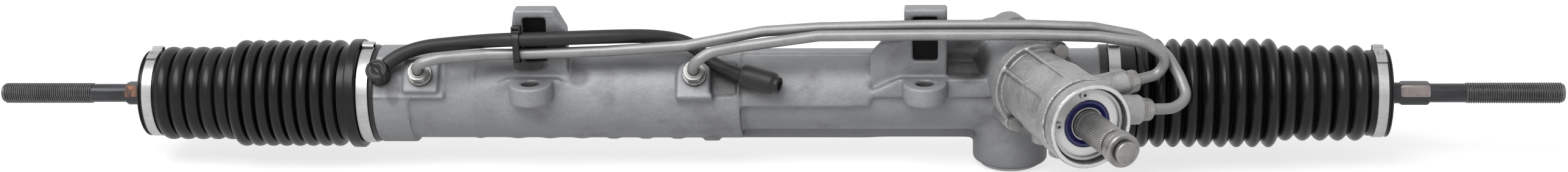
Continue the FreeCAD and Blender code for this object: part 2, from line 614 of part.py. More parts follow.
# Steering rack inside the housing
def rack_bar():
    """Round bar with straight teeth, a piston seat and a stud hole in each end."""
    body = rod("rack_blank", [("-rack_left", "rack_right", "rack_radius")])
    tip = "(rack_reference + module)"
    root = "(rack_reference - 1.25 * module)"
    pitch = "(module * 3.14159265)"
    slope = math.tan(math.radians(value("pressure_angle")))
    # the first space lies a whole number of teeth left of the pinion
    teeth_left = round((value("pinion_x - rack_teeth_x") / value(pitch)) + value("rack_teeth - 1") / 2)
    first = "(pinion_x - %d * %s)" % (teeth_left, pitch)
    run = "((rack_teeth - 1) * %s)" % pitch
    top = "(rack_radius + 1)"
    flat = [(first + " - %s / 2" % pitch, tip), (first + " + %s + %s / 2" % (run, pitch), tip),
            (first + " + %s + %s / 2" % (run, pitch), top), (first + " - %s / 2" % pitch, top)]
    narrow = "(%s / 4 - 1.25 * module * %.8f)" % (pitch, slope)
    wide = "(%s / 4 + (module + 1) * %.8f)" % (pitch, slope)
    gap = [(first + " - " + narrow, root), (first + " + " + narrow, root),
           (first + " + " + wide, tip + " + 1"), (first + " - " + wide, tip + " + 1")]
    cuts = []
    for name, outline in (("tooth_flat", flat), ("tooth_gap", gap)):
        sketch = polygon(body, "XZ_Plane", [outline], name + "_outline")
        pocket = body.newObject("PartDesign::Pocket", name)
        pocket.Profile = sketch
        pocket.Midplane = True
        pocket.setExpression("Length", bound("rack_radius * 4"))
        sketch.Visibility = False
        cuts.append(pocket)
    document.recompute()
    pattern = body.newObject("PartDesign::LinearPattern", "rack_teeth_pattern")
    pattern.Originals = [cuts[1]]
    axis = [f for f in body.Origin.OriginFeatures if f.Role == "X_Axis"][0]
    pattern.Direction = (axis, [""])
    pattern.setExpression("Length", bound(run))
    pattern.setExpression("Occurrences", bound("rack_teeth"))
    body.Tip = pattern
    holes = [sleeve_hole("left_stud_hole", "-rack_left - 1", "-rack_left + stud_length + 1"),
             sleeve_hole("right_stud_hole", "rack_right - stud_length - 1", "rack_right + 1")]
    keep("rack_bar", cut("rack_bar_cut", body, fused("stud_holes", holes)))


def sleeve_hole(name, start, end):
    """Hole in a rack end for a socket stud."""
    return rod(name, [(start, end, "stud_radius + seat_gap")])


def rack_fittings():
    """Piston, seals and bushings along the rack."""
    inner = "rack_radius + running_gap"
    left = "(-piston_x - piston_width / 2)"
    right = "(-piston_x + piston_width / 2)"
    rim = "(cylinder_bore - 3)"
    outline = [(left, "rack_radius + seat_gap"), (right, "rack_radius + seat_gap"),
               (right, "cylinder_bore - 0.4"), ("-piston_x + 3", "cylinder_bore - 0.4"),
               ("-piston_x + 3", rim), ("-piston_x - 3", rim),
               ("-piston_x - 3", "cylinder_bore - 0.4"), (left, "cylinder_bore - 0.4")]
    keep("piston", turned("piston_turned", outline))
    keep("piston_ring", sleeve("piston_ring_turned", "-piston_x - 3 + seat_gap", "-piston_x + 3 - seat_gap",
                               rim + " + seat_gap", "cylinder_bore - running_gap"))
    face = "(-left_end)"
    keep("outer_bushing", sleeve("outer_bushing_turned", face, face + " + bushing_length - 7", inner,
                                 "cylinder_bore - seat_gap"))
    keep("outer_rack_seal", sleeve("outer_seal_turned", face + " + bushing_length - 7 + seat_gap",
                                   face + " + bushing_length", inner, "cylinder_bore - seat_gap"))
    keep("bushing_ring", sleeve("bushing_ring_turned", face + " - 2", face + " - seat_gap",
                                "cylinder_bore - 3", "cylinder_bore - seat_gap"))
    step = "(cylinder_end)"
    keep("bulkhead", sleeve("bulkhead_turned", step + " - bulkhead_length + 7", step + " - seat_gap",
                            inner, "cylinder_bore - seat_gap"))
    keep("inner_rack_seal", sleeve("inner_seal_turned", step + " - bulkhead_length",
                                   step + " - bulkhead_length + 7 - seat_gap", inner,
                                   "cylinder_bore - seat_gap"))


# Pinion, valve and tower
def involute(base_radius, radius):
    """Angle that an involute has turned by at a radius."""
    angle = math.acos(base_radius / radius)
    return math.tan(angle) - angle


def pinion_teeth():
    """Helical teeth along +X about the X axis, one tooth pointing to -Z at x = 0."""
    count = int(round(value("teeth")))
    module = value("module")
    transverse = math.atan(math.tan(math.radians(value("pressure_angle"))) / math.cos(HELIX))
    base_radius = PITCH_RADIUS * math.cos(transverse)
    shift = value("profile_shift * module")
    tip = PITCH_RADIUS + shift + 0.9 * module
    root = PITCH_RADIUS + shift - 1.25 * module
    normal_tan = math.tan(math.radians(value("pressure_angle")))
    thickness = (math.pi / 2 * module + 2 * shift * normal_tan - value("tooth_play")) / math.cos(HELIX)
    half = thickness / 2 / PITCH_RADIUS + involute(base_radius, PITCH_RADIUS)
    radii = [base_radius + (tip - base_radius) * i / 3 for i in range(4)]

    def point(radius, angle):
        return V(0, radius * math.sin(angle), -radius * math.cos(angle))

    edges = []
    for tooth in range(count):
        middle = 2 * math.pi * tooth / count
        follow = middle + 2 * math.pi / count
        rise = [point(r, middle - half + involute(base_radius, r)) for r in radii]
        fall = [point(r, middle + half - involute(base_radius, r)) for r in reversed(radii)]
        edges.append(Part.LineSegment(point(root, middle - half), rise[0]).toShape())
        flank = Part.BSplineCurve()
        flank.interpolate(rise)
        edges.append(flank.toShape())
        edges.append(Part.Arc(rise[-1], point(tip, middle), fall[0]).toShape())
        flank = Part.BSplineCurve()
        flank.interpolate(fall)
        edges.append(flank.toShape())
        edges.append(Part.LineSegment(fall[-1], point(root, middle + half)).toShape())
        edges.append(Part.Arc(point(root, middle + half), point(root, (middle + follow) / 2),
                              point(root, follow - half)).toShape())
    profile = Part.Wire(edges)
    reach = value("pinion_half_face")
    lead = 2 * math.pi * PITCH_RADIUS / math.tan(HELIX)
    solids = []
    for side in (1, -1):
        helix = Part.makeHelix(lead, reach, PITCH_RADIUS, 0, True)
        turn = FreeCAD.Rotation(V(0, 0, 1), X_AXIS * side)
        helix.Placement = FreeCAD.Placement(V(), turn)
        spine = Part.Wire([Part.LineSegment(V(), X_AXIS * side * reach).toShape()])
        shell = Part.BRepOffsetAPI.MakePipeShell(spine)
        shell.setAuxiliarySpine(Part.Wire(helix.Edges), True, False)
        shell.add(profile)
        shell.build()
        shell.makeSolid()
        solids.append(shell.shape())
    return solids[0].fuse(solids[1]).removeSplitter()


def pinion_group():
    """Pinion with its valve sleeve, rings, torsion bar and nut."""
    steps = [("-low_bearing_start - low_bearing_width - pinion_nut_width - 1",
              "-low_bearing_start - low_bearing_width", "low_journal - 1"),
             ("-low_bearing_start - low_bearing_width", "-low_bearing_start", "low_journal"),
             ("-low_bearing_start", "pinion_half_face", "low_journal + 1"),
             ("pinion_half_face", "high_bearing_start", "high_journal + 1.5"),
             ("high_bearing_start", "high_bearing_start + high_bearing_width", "high_journal"),
             ("high_bearing_start + high_bearing_width", "head_start", "high_journal + 1"),
             ("head_start", "head_end", "head_radius")]
    shaft = rod("pinion_shaft", steps, PINION_CENTRE, PINION_DIRECTION)
    teeth = seat(fixed_shape("pinion_toothing", pinion_teeth()), PINION_CENTRE, PINION_DIRECTION)
    bore = rod("pinion_bore", [("16", "high_bearing_start + 4", "torsion_end + seat_gap"),
                               ("high_bearing_start + 4", "head_end + 1", "nose_radius")],
               PINION_CENTRE, PINION_DIRECTION)
    keep("pinion", cut("pinion_cut_bore", fused("pinion_solid", [shaft, teeth]), bore))
    outline = [("head_end", "spool_radius + running_gap"), ("sleeve_end", "spool_radius + running_gap")]
    outline += [("sleeve_end", "sleeve_radius")]
    rings = []
    for number in range(4):
        middle = "(head_end + (sleeve_end - head_end) * %d / 10)" % (8 - 2 * number)
        outline += [(middle + " + 1.2", "sleeve_radius"), (middle + " + 1.2", "sleeve_radius - 1.2"),
                    (middle + " - 1.2", "sleeve_radius - 1.2"), (middle + " - 1.2", "sleeve_radius")]
        rings.append(sleeve("sleeve_ring_%d" % number, middle + " - 1.2 + seat_gap",
                            middle + " + 1.2 - seat_gap", "sleeve_radius - 1.2 + seat_gap",
                            "valve_bore - running_gap", PINION_CENTRE, PINION_DIRECTION))
    outline.append(("head_end", "sleeve_radius"))
    keep("valve_sleeve", turned("valve_sleeve_turned", outline, PINION_CENTRE, PINION_DIRECTION))
    group = document.addObject("Part::Compound", "sleeve_ring_group")
    group.Links = rings
    keep("sleeve_rings", group)
    nut_start = "(-low_bearing_start - low_bearing_width - pinion_nut_width)"
    nut_end = nut_start + " + pinion_nut_width - seat_gap"
    keep("pinion_nut", sleeve("pinion_nut_turned", nut_start, nut_end, "low_journal - 1 + seat_gap",
                              "low_journal + 3", PINION_CENTRE, PINION_DIRECTION))
    bar = [("16 + seat_gap", "high_bearing_start + 4", "torsion_end"),
           ("high_bearing_start + 4", "shaft_end - 12", "torsion_radius")]
    keep("torsion_bar", rod("torsion_bar_turned", bar, PINION_CENTRE, PINION_DIRECTION))


def input_shaft():
    """Valve spool, journal, splines, collar and pilot in one piece, bored for the torsion bar."""
    steps = [("high_bearing_start + 6", "head_end + 2", "nose_radius - running_gap"),
             ("head_end + 2", "shaft_bearing_start", "spool_radius"),
             ("shaft_bearing_start", "tower_face - 1", "shaft_journal"),
             ("tower_face - 1", "shaft_end - 18", "spline_radius"),
             ("shaft_end - 18", "shaft_end - 13", "spline_radius - 1.5"),
             ("shaft_end - 13", "shaft_end - 4.5", "shaft_collar"),
             ("shaft_end - 4.5", "shaft_end - 3.5", "pilot_radius - 1"),
             ("shaft_end - 3.5", "shaft_end", "pilot_radius")]
    solid = rod("input_shaft_solid", steps, PINION_CENTRE, PINION_DIRECTION)
    bore = rod("input_shaft_bore", [("high_bearing_start + 5", "shaft_end - 11", "torsion_radius + 0.3")],
               PINION_CENTRE, PINION_DIRECTION)
    keep("input_shaft", cut("input_shaft_bored", solid, bore))


def bearing(label, start, width, inner, outer):
    """Bearing as one ring, seated in its bore and running on its journal."""
    end = "(%s) + (%s)" % (start, width)
    keep(label, sleeve(label + "_turned", start, end, inner + " + running_gap", outer,
                       PINION_CENTRE, PINION_DIRECTION))


def pinion_supports():
    """Bearings, seals, snap ring and end cap round the pinion and the input shaft."""
    bearing("pinion_lower_bearing", "-low_bearing_start - low_bearing_width", "low_bearing_width",
            "low_journal", "low_bearing_outer")
    bearing("pinion_upper_bearing", "high_bearing_start", "high_bearing_width",
            "high_journal", "high_bearing_outer")
    bearing("pinion_seal", "high_bearing_start + high_bearing_width + seat_gap",
            "boss_mouth - high_bearing_start - high_bearing_width - seat_gap",
            "high_journal + 1", "high_bearing_outer")
    bearing("shaft_bearing", "shaft_bearing_start", "shaft_bearing_width",
            "shaft_journal", "shaft_bearing_outer")
    bearing("input_seal", "tower_face - mouth_depth - input_seal_width", "input_seal_width",
            "shaft_journal", "input_seal_outer")
    keep("snap_ring", sleeve("snap_ring_turned", "tower_face - mouth_depth + seat_gap",
                             "tower_face - mouth_depth + 1.8", "tower_mouth - 3", "tower_mouth - seat_gap",
                             PINION_CENTRE, PINION_DIRECTION))
    keep("pinion_cap", rod("pinion_cap_turned", [("-boss_foot - 1.5", "-boss_foot + 3",
                                                  "low_bearing_outer")],
                           PINION_CENTRE, PINION_DIRECTION))


def port_direction(tilt):
    """Direction of a tower port, level with the tower's side and then tilted up."""
    angle = math.radians(value(tilt))
    return PINION_SIDE * math.cos(angle) + V(0, 0, math.sin(angle))


def tower():
    """Valve housing: flange, stepped body, front ring, port bosses and their bores."""
    outline = [("boss_mouth", "0"), ("boss_mouth", "tower_flange"),
               ("boss_mouth + tower_flange_width", "tower_flange"),
               ("boss_mouth + tower_flange_width", "tower_waist"),
               ("rear_port - 4", "tower_waist"), ("rear_port - 3", "tower_radius"),
               ("band_start", "tower_radius"), ("band_start", "tower_rim"),
               ("tower_face - 12.5", "tower_rim"), ("tower_face - 12.5", "tower_rim - band_groove"),
               ("tower_face - 9", "tower_rim - band_groove"), ("tower_face - 9", "tower_rim"),
               ("tower_face - 1", "tower_rim"), ("tower_face", "tower_rim - 1"), ("tower_face", "0")]
    forms = [turned("tower_body", outline, PINION_CENTRE, PINION_DIRECTION)]
    hollow = [rod("tower_hollow", [("boss_mouth - 1", "sleeve_end + 1", "valve_bore"),
                                   ("sleeve_end + 1", "shaft_bearing_start + shaft_bearing_width",
                                    "shaft_bearing_outer + seat_gap"),
                                   ("shaft_bearing_start + shaft_bearing_width",
                                    "tower_face - mouth_depth", "input_seal_outer + seat_gap"),
                                   ("tower_face - mouth_depth", "tower_face + 1", "tower_mouth")],
                  PINION_CENTRE, PINION_DIRECTION)]
    for name, station, tilt in (("rear_port_boss", "rear_port", "rear_port_tilt"),
                                ("front_port_boss", "front_port", "front_port_tilt")):
        base = PINION_CENTRE + PINION_DIRECTION * value(station)
        forms.append(rod(name, [("10", "port_reach - 9", "port_radius")], base, port_direction(tilt)))
        hollow.append(rod(name + "_bore", [("14", "port_reach - 17", "line_radius - 1"),
                                           ("port_reach - 17", "port_reach", "union_radius - 2 + seat_gap")],
                          base, port_direction(tilt)))
    for number, angle in enumerate(TOWER_RIB_ANGLES):
        turn = math.radians(angle)
        way = V(0, 0, math.cos(turn)) + PINION_SIDE * math.sin(turn)
        base = PINION_CENTRE + PINION_DIRECTION * value("(boss_mouth + band_start) / 2") + way * 10
        rib = document.addObject("Part::Box", "tower_rib_%d" % number)
        rib.setExpression("Length", bound("band_start - boss_mouth"))
        rib.setExpression("Width", bound("tower_rib"))
        rib.setExpression("Height", bound("tower_rim - 10"))
        side = way.cross(PINION_DIRECTION)
        turned_box = FreeCAD.Rotation(PINION_DIRECTION, side * -1, way, "ZXY")
        corner = base - PINION_DIRECTION * value("(band_start - boss_mouth) / 2") + side * value("tower_rib / 2")
        rib.Placement = FreeCAD.Placement(corner, turned_box)
        forms.append(rib)
    for name, station in (("supply_boss", "supply_port"), ("return_boss", "return_port")):
        base = PINION_CENTRE + PINION_DIRECTION * value(station)
        forms.append(rod(name, [("valve_bore + 1", "feed_port_mouth", "feed_port_radius + 3")], base, DOWN))
        steps = [("valve_bore - 1", "feed_port_mouth - feed_port_depth", "feed_passage"),
                 ("feed_port_mouth - feed_port_depth", "feed_port_mouth + 1", "feed_port_radius")]
        hollow.append(rod(name + "_bore", steps, base, DOWN))
    for number, angle in enumerate(TOWER_BOLT_ANGLES):
        base = bolt_place(angle)
        forms.append(rod("tower_ear_%d" % number, [("0", "tower_flange_width", "tower_bolt_radius * 2")],
                         base, PINION_DIRECTION))
        steps = [("-1", "tower_flange_width", "tower_bolt_radius + 0.2"),
                 ("tower_flange_width", "tower_flange_width * 2", "tower_bolt_radius * 2")]
        hollow.append(rod("tower_ear_bore_%d" % number, steps, base, PINION_DIRECTION))
    keep("valve_housing", cut("tower_bored", fused("tower_forms", forms), fused("tower_hollows", hollow)))


def bolt_place(angle):
    """Place of a tower bolt at the joint face, turned from the top towards the ports."""
    turn = math.radians(angle)
    reach = value("tower_bolt_circle")
    mouth = PINION_CENTRE + PINION_DIRECTION * value("boss_mouth")
    return mouth + V(0, 0, reach * math.cos(turn)) + PINION_SIDE * (reach * math.sin(turn))


def tower_bolts():
    """Two hexagon bolts that hold the tower flange on the pinion boss."""
    bolts = []
    for number, angle in enumerate(TOWER_BOLT_ANGLES):
        base = bolt_place(angle)
        steps = [("-tower_bolt_depth", "tower_flange_width + 1", "tower_bolt_radius")]
        shank = rod("bolt_shank_%d" % number, steps, base, PINION_DIRECTION)
        head = document.addObject("Part::Prism", "bolt_head_%d" % number)
        head.Polygon = 6
        head.setExpression("Circumradius", bound("tower_bolt_radius * 1.8"))
        head.setExpression("Height", bound("tower_bolt_radius * 1.3"))
        foot = base + PINION_DIRECTION * value("tower_flange_width + seat_gap")
        head.Placement = FreeCAD.Placement(foot, FreeCAD.Rotation(V(0, 0, 1), PINION_DIRECTION))
        bolts.append(fused("tower_bolt_%d" % number, [shank, head]))
    group = document.addObject("Part::Compound", "tower_bolt_group")
    group.Links = bolts
    keep("tower_bolts", group)


# Support yoke under the rack
def yoke_group():
    """Yoke, its liner and spring, adjusting plug and lock nut, all along -Z."""
    foot = "(rack_radius + yoke_length)"
    saddle_radius = "rack_radius + liner_thickness + running_gap"
    saddle = cylinder_along_rack("yoke_saddle", saddle_radius, "yoke_radius * 3")
    block_form = rod("yoke_blank", [("2", foot, "yoke_radius")], YOKE_CENTRE, DOWN)
    pocket = rod("yoke_pocket", [(foot + " - 7", foot + " + 1", "7.2")], YOKE_CENTRE, DOWN)
    keep("yoke", cut("yoke_cut_form", block_form, fused("yoke_hollow", [saddle, pocket])))
    shell_outer = cylinder_along_rack("liner_outer", "rack_radius + liner_thickness", "yoke_radius * 1.5")
    shell_inner = cylinder_along_rack("liner_inner", "rack_radius + running_gap", "yoke_radius * 2")
    below = document.addObject("Part::Box", "liner_lower_half")
    below.setExpression("Length", bound("yoke_radius * 2"))
    below.setExpression("Width", bound("yoke_radius * 2"))
    below.setExpression("Height", bound("yoke_radius"))
    reach = value("yoke_radius")
    below.Placement = FreeCAD.Placement(YOKE_CENTRE + V(-reach, -reach, -reach - 3), FreeCAD.Rotation())
    half = document.addObject("Part::Common", "liner_half")
    half.Base = shell_outer
    half.Tool = below
    keep("yoke_liner", cut("yoke_liner_cut", half, shell_inner))
    plug_face = "(yoke_boss_foot - plug_width)"
    plug = rod("yoke_plug_blank", [(plug_face, "yoke_boss_foot - 0.5", "yoke_radius")], YOKE_CENTRE, DOWN)
    socket = document.addObject("Part::Prism", "yoke_plug_socket")
    socket.Polygon = 6
    socket.setExpression("Circumradius", bound("plug_width"))
    socket.setExpression("Height", bound("plug_width"))
    base = YOKE_CENTRE + V(0, 0, -value("yoke_boss_foot") - 4)
    socket.Placement = FreeCAD.Placement(base, FreeCAD.Rotation())
    keep("yoke_plug", cut("yoke_plug_cut", plug, socket))
    keep("yoke_locknut", sleeve("yoke_locknut_turned", "yoke_boss_foot + seat_gap", "yoke_boss_foot + 3",
                                "yoke_radius - 2", "yoke_radius + 4", YOKE_CENTRE, DOWN))
    keep("yoke_spring", fixed_shape("yoke_spring_wound", yoke_spring(value(foot + " - 7"), value(plug_face))))


def cylinder_along_rack(name, radius, length):
    """Round bar about the rack axis, centred under the pinion."""
    return rod(name, [("pinion_x - (%s) / 2" % length, "pinion_x + (%s) / 2" % length, radius)])


def yoke_spring(top, bottom):
    """Coil spring between the yoke's pocket and the plug."""
    wire = 1.1
    clear = 0.3
    height = bottom - top - 2 * (wire + clear)
    helix = Part.makeHelix(height / 3, height, 5.4)
    helix.Placement = FreeCAD.Placement(YOKE_CENTRE + V(0, 0, -bottom + wire + clear), FreeCAD.Rotation())
    start = helix.Edges[0].valueAt(helix.Edges[0].FirstParameter)
    tangent = helix.Edges[0].tangentAt(helix.Edges[0].FirstParameter)
    circle = Part.Wire([Part.Circle(start, tangent, wire).toShape()])
    return Part.Wire(helix.Edges).makePipeShell([circle], True, True)


# Ball joints, tie rods and boots, once per side
def end_group(side, word):
    """Everything beyond one end of the rack; side is -1 for left and 1 for right."""
    outwards = X_AXIS * side
    rack_end = "rack_left" if side < 0 else "rack_right"
    face = RACK_LINE + outwards * value(rack_end)
    centre = face + outwards * value("ball_offset")
    washer = sleeve(word + "_washer_turned", "seat_gap", "2", "stud_radius + 0.1", "socket_radius - 1.5",
                    face, outwards)
    keep("lock_washer_" + word, washer)
    steps = [("-stud_length", "2 + seat_gap", "stud_radius"),
             ("2 + seat_gap", "ball_offset + socket_reach - 3", "socket_radius"),
             ("ball_offset + socket_reach - 3", "ball_offset + socket_reach", "socket_radius - 4")]
    blank = rod(word + "_socket_blank", steps, face, outwards)
    far = "ball_offset + socket_reach + 1"
    cone = [("ball_offset + 2", "0"), ("ball_offset + 2", "ball_radius - 1.6"), (far, "ball_radius + 0.5"),
            (far, "0")]
    mouth = turned(word + "_socket_mouth", cone, face, outwards)
    cavity = ball(word + "_socket_cavity", "seat_radius + seat_gap", centre)
    hollow = fused(word + "_socket_hollow", [mouth, cavity])
    keep("ball_socket_" + word, cut(word + "_socket_cut", blank, hollow))
    steps = [("ball_offset - 9", "ball_offset + 5", "seat_radius")]
    seat_blank = rod(word + "_seat_blank", steps, face, outwards)
    outer = ball(word + "_seat_outer", "seat_radius", centre)
    inner = ball(word + "_seat_inner", "ball_radius + running_gap", centre)
    shell = document.addObject("Part::Common", word + "_seat_shell")
    shell.Base = outer
    shell.Tool = seat_blank
    cone = [("ball_offset + 2", "0"), ("ball_offset + 2", "ball_radius - 1.5"),
            ("ball_offset + 7", "ball_radius + 0.4"), ("ball_offset + 7", "0")]
    opening = turned(word + "_seat_mouth", cone, face, outwards)
    hollow = fused(word + "_seat_hollow", [inner, opening])
    keep("ball_seat_" + word, cut(word + "_seat_cut", shell, hollow))
    tie_rod(word, centre, outwards)
    boot(side, word, outwards)


def tie_rod(word, centre, outwards):
    """Ball, shank, hexagon, plain stretch and thread in one forging."""
    near = "(rod_length - thread_length)"
    steps = [("0", "ball_radius + 4", "rod_neck"), ("ball_radius + 4", "hex_near + 1", "shank_radius"),
             ("hex_near + 1", near, "plain_radius"),
             (near, "rod_length - 1.5", "thread_radius"),
             ("rod_length - 1.5", "rod_length", "thread_radius - 1.2")]
    shank = rod(word + "_rod_shank", steps, centre, outwards)
    hexagon = document.addObject("Part::Prism", word + "_rod_hexagon")
    hexagon.Polygon = 6
    hexagon.setExpression("Circumradius", bound("hex_flats / 1.7320508"))
    hexagon.setExpression("Height", bound("hex_far - hex_near"))
    foot = centre + outwards * value("hex_near")
    hexagon.Placement = FreeCAD.Placement(foot, FreeCAD.Rotation(V(0, 0, 1), outwards))
    joint_ball = ball(word + "_rod_ball", "ball_radius", centre)
    keep("tie_rod_" + word, fused(word + "_rod_forging", [shank, joint_ball, hexagon]))


def fold_outline(start, end, count, crest, root):
    """Corners of an even row of folds between two stations."""
    corners = []
    pitch = "((%s - %s) / %d)" % (end, start, count)
    for number in range(count):
        corners.append(("%s + %s * %.2f" % (start, pitch, number + 0.3), crest))
        corners.append(("%s + %s * %.2f" % (start, pitch, number + 0.7), crest))
        corners.append(("%s + %s * %d" % (start, pitch, number + 1), root))
    return corners


def boot(side, word, outwards):
    """Rubber boot with large and small folds, its clamps, support ring and neck strap."""
    end = "left_end" if side < 0 else "right_end"
    start = word + "_cuff"
    folds = word + "_folds"
    shoulder = word + "_shoulder"
    small = word + "_small_end"
    tip = word + "_boot_tip"
    neck = "(%s + neck_length + 1)" % end
    cuff = "neck_radius + cuff_wall"
    outline = [(start, "neck_radius + seat_gap"), (start, cuff)]
    if side < 0:
        outline += [("collar_start", cuff), ("collar_start", "boot_crest"), ("collar_end", "boot_crest"),
                    ("collar_end + 1", cuff)]
    outline.append((folds, cuff))
    outline += fold_outline(folds, shoulder, 8 if side < 0 else 9, "boot_crest", "boot_root")
    outline[-1] = (shoulder, "small_root")
    outline += fold_outline(shoulder, small, 5, "small_crest", "small_root")
    outline += [(tip, "small_cuff_radius"), (tip, "small_cuff_radius - cuff_wall"),
                (tip + " - 10", "small_cuff_radius - cuff_wall"), (tip + " - 11", "boot_bore"),
                (neck + " + 2", "boot_bore"), (neck, "neck_radius + seat_gap")]
    keep("boot_" + word, turned(word + "_boot_turned", outline, RACK_LINE, outwards))
    keep("inner_clamp_" + word, clamp(word + "_inner_clamp", start + " + 0.3", "inner_clamp_width",
                                      cuff + " + seat_gap", outwards))
    keep("neck_strap_" + word, sleeve(word + "_strap_turned", end + " + seat_gap", start + " - seat_gap",
                                      "neck_radius + seat_gap", "neck_radius + strap_thickness",
                                      RACK_LINE, outwards))
    keep("outer_clamp_" + word, clamp(word + "_outer_clamp", tip + " - 3 - outer_clamp_width",
                                      "outer_clamp_width", "small_cuff_radius + seat_gap", outwards))
    hole = "hex_flats / 1.7320508 + seat_gap" if side < 0 else "shank_radius + seat_gap"
    keep("support_ring_" + word, sleeve(word + "_support_ring", tip + " - 1.5 - ring_width", tip + " - 1.5",
                                        hole, "small_cuff_radius - cuff_wall - seat_gap", RACK_LINE,
                                        outwards))


def clamp(name, start, width, inner, outwards):
    """Band clamp with a crimped ear on top."""
    thickness = "clamp_thickness"
    band = sleeve(name + "_band", start, "(%s) + %s" % (start, width), inner,
                  "%s + %s" % (inner, thickness), RACK_LINE, outwards)
    ear = document.addObject("Part::Box", name + "_ear")
    ear.setExpression("Length", bound(width + " - 1.5"))
    ear.setExpression("Width", bound("9"))
    ear.setExpression("Height", bound(thickness + " + 2.5"))
    middle = value("(%s) + %s / 2" % (start, width))
    low = RACK_LINE + outwards * middle + V(-value(width + " - 1.5") / 2, -4.5, value(inner) + 0.4)
    ear.Placement = FreeCAD.Placement(low, FreeCAD.Rotation())
    return fused(name + "_closed", [band, ear])


# Pressure lines and breather hose
def union_nuts():
    """Union nuts on the two cylinder ports and the two tower ports."""
    for label, station in (("left_union", "-left_port"), ("middle_union", "-middle_port")):
        base = RACK_LINE + V(value(station), 0, 0)
        union(label, base, UNION_DIRECTION, "port_seat")
    for label, station, tilt in (("rear_union", "rear_port", "rear_port_tilt"),
                                 ("front_union", "front_port", "front_port_tilt")):
        base = PINION_CENTRE + PINION_DIRECTION * value(station)
        union(label, base, port_direction(tilt), "port_reach - 9")


def union(label, base, direction, face):
    """Union nut: screwed stem, collar and a bore for the line."""
    line = "line_radius + seat_gap"
    outline = [(face + " - 7", line), (face + " + 9", line), (face + " + 9", "union_radius - 1.5"),
               (face + " + 8", "union_radius"), (face + " + seat_gap", "union_radius"),
               (face + " + seat_gap", "union_radius - 2"), (face + " - 7", "union_radius - 2")]
    keep(label, turned(label + "_turned", outline, base, direction))


def lines():
    """Both pressure lines, from the cylinder ports along the housing to the tower ports."""
    radius = value("line_radius")
    left_port = RACK_LINE + V(-value("left_port"), 0, 0)
    middle_port = RACK_LINE + V(-value("middle_port"), 0, 0)
    front_port = PINION_CENTRE + PINION_DIRECTION * value("front_port")
    rear_port = PINION_CENTRE + PINION_DIRECTION * value("rear_port")
    front_way = port_direction("front_port_tilt")
    rear_way = port_direction("rear_port_tilt")
    low = value("port_seat - 6")
    mouth = value("port_seat + 19")
    reach = value("port_reach - 15")
    long_route = [left_port + UNION_DIRECTION * low, left_port + UNION_DIRECTION * mouth,
                  *from_rack((-190, -37, 38), (-160, -30, 38), (-131, -28.5, 38), (-80, -26, 39),
                             (-27, -26, 42.5), (24, -26, 52.5), (62, -26, 55), (131, -26, 56.5),
                             (200, -26, 56.5), (240, -26, 55), (270, -26, 49), (288, -28, 38),
                             (297, -36, 24), (301, -47, 14)),
                  front_port + front_way * value("port_reach + 17"), front_port + front_way * reach]
    short_route = [middle_port + UNION_DIRECTION * low, middle_port + UNION_DIRECTION * mouth,
                   *from_rack((-10, -39, 42.5), (10, -35, 45), (62, -34, 52), (131, -34, 52.5),
                              (200, -34, 52.5), (244, -35, 51.5), (274, -36, 47.5), (288, -37, 38)),
                   rear_port + rear_way * value("port_reach + 16"), rear_port + rear_way * reach]
    keep("long_line", bent_tube("long_line_bent", long_route, radius, 22.0))
    keep("short_line", bent_tube("short_line_bent", short_route, radius, 22.0))


def breather():
    """Slotted fitting, hose along the housing, rubber end sleeve and cable tie."""
    base = RACK_LINE + V(-value("breather_x"), 0, 0)
    stem = "hose_radius - 1.2"
    seat_face = value("breather_seat")
    fitting = rod("breather_fitting_solid", [("breather_seat - 6", "breather_seat + seat_gap", stem),
                                             ("breather_seat + seat_gap", "breather_seat + 13", "7.5")],
                  base, UNION_DIRECTION)
    keep("breather_fitting", fitting)
    side = base + UNION_DIRECTION * (seat_face + 7.5)
    away = V(0.7, 0.43, 0.55)
    away = (away - UNION_DIRECTION * away.dot(UNION_DIRECTION)).normalize()
    route = [side + away * 7.6, side + away * 24,
             *from_rack((-172, -23, 44.5), (-147, -29.4, 48.2), (-131, -29.6, 48.4), (-78, -24, 48.5),
                        (-52, -15.5, 46), (-30, -9.5, 40.5), (-13, -17.5, 35.5), (10, -28, 27.5))]
    keep("breather_hose", bent_tube("breather_hose_bent", route, value("hose_radius"), 60.0))
    cover_way = (route[-1] - route[-2]).normalize()
    cover = rod("hose_sleeve_solid", [("seat_gap", "24", "7.6"), ("24", "28", "5.5")], route[-1], cover_way)
    keep("hose_sleeve", cover)
    keep("cable_tie", cable_tie(*from_rack((-139, -29.5, 48.3), (-139, -28.8, 38))))


def cable_tie(top, bottom):
    """Strap round hose and line with its square head on top."""
    width = 4.6
    inner = value("hose_radius") + 0.25
    thickness = 1.2
    loops = []
    for reach in (inner, inner + thickness):
        upper = Part.makeCylinder(reach, width, top - X_AXIS * width / 2, X_AXIS)
        lower = Part.makeCylinder(reach, width, bottom - X_AXIS * width / 2, X_AXIS)
        drop = top - bottom
        across = V(0, drop.z, -drop.y).normalize() * reach
        corners = [top + across, top - across, bottom - across, bottom + across]
        corners = [c - X_AXIS * width / 2 for c in corners]
        face = Part.Face(Part.makePolygon(corners + [corners[0]]))
        loops.append(upper.fuse(lower).fuse(face.extrude(X_AXIS * width)))
    head = Part.makeBox(7, 6, 5, top + V(-3.5, -3, inner + 0.5))
    strap = fixed_shape("cable_tie_strap", loops[1].fuse(head).cut(loops[0]).removeSplitter())
    return strap


document.recompute()
housing()
tab_pads()
rack_bar()
rack_fittings()
pinion_group()
input_shaft()
pinion_supports()
tower()
tower_bolts()
yoke_group()
end_group(-1, "left")
end_group(1, "right")
union_nuts()
lines()
breather()
document.recompute()

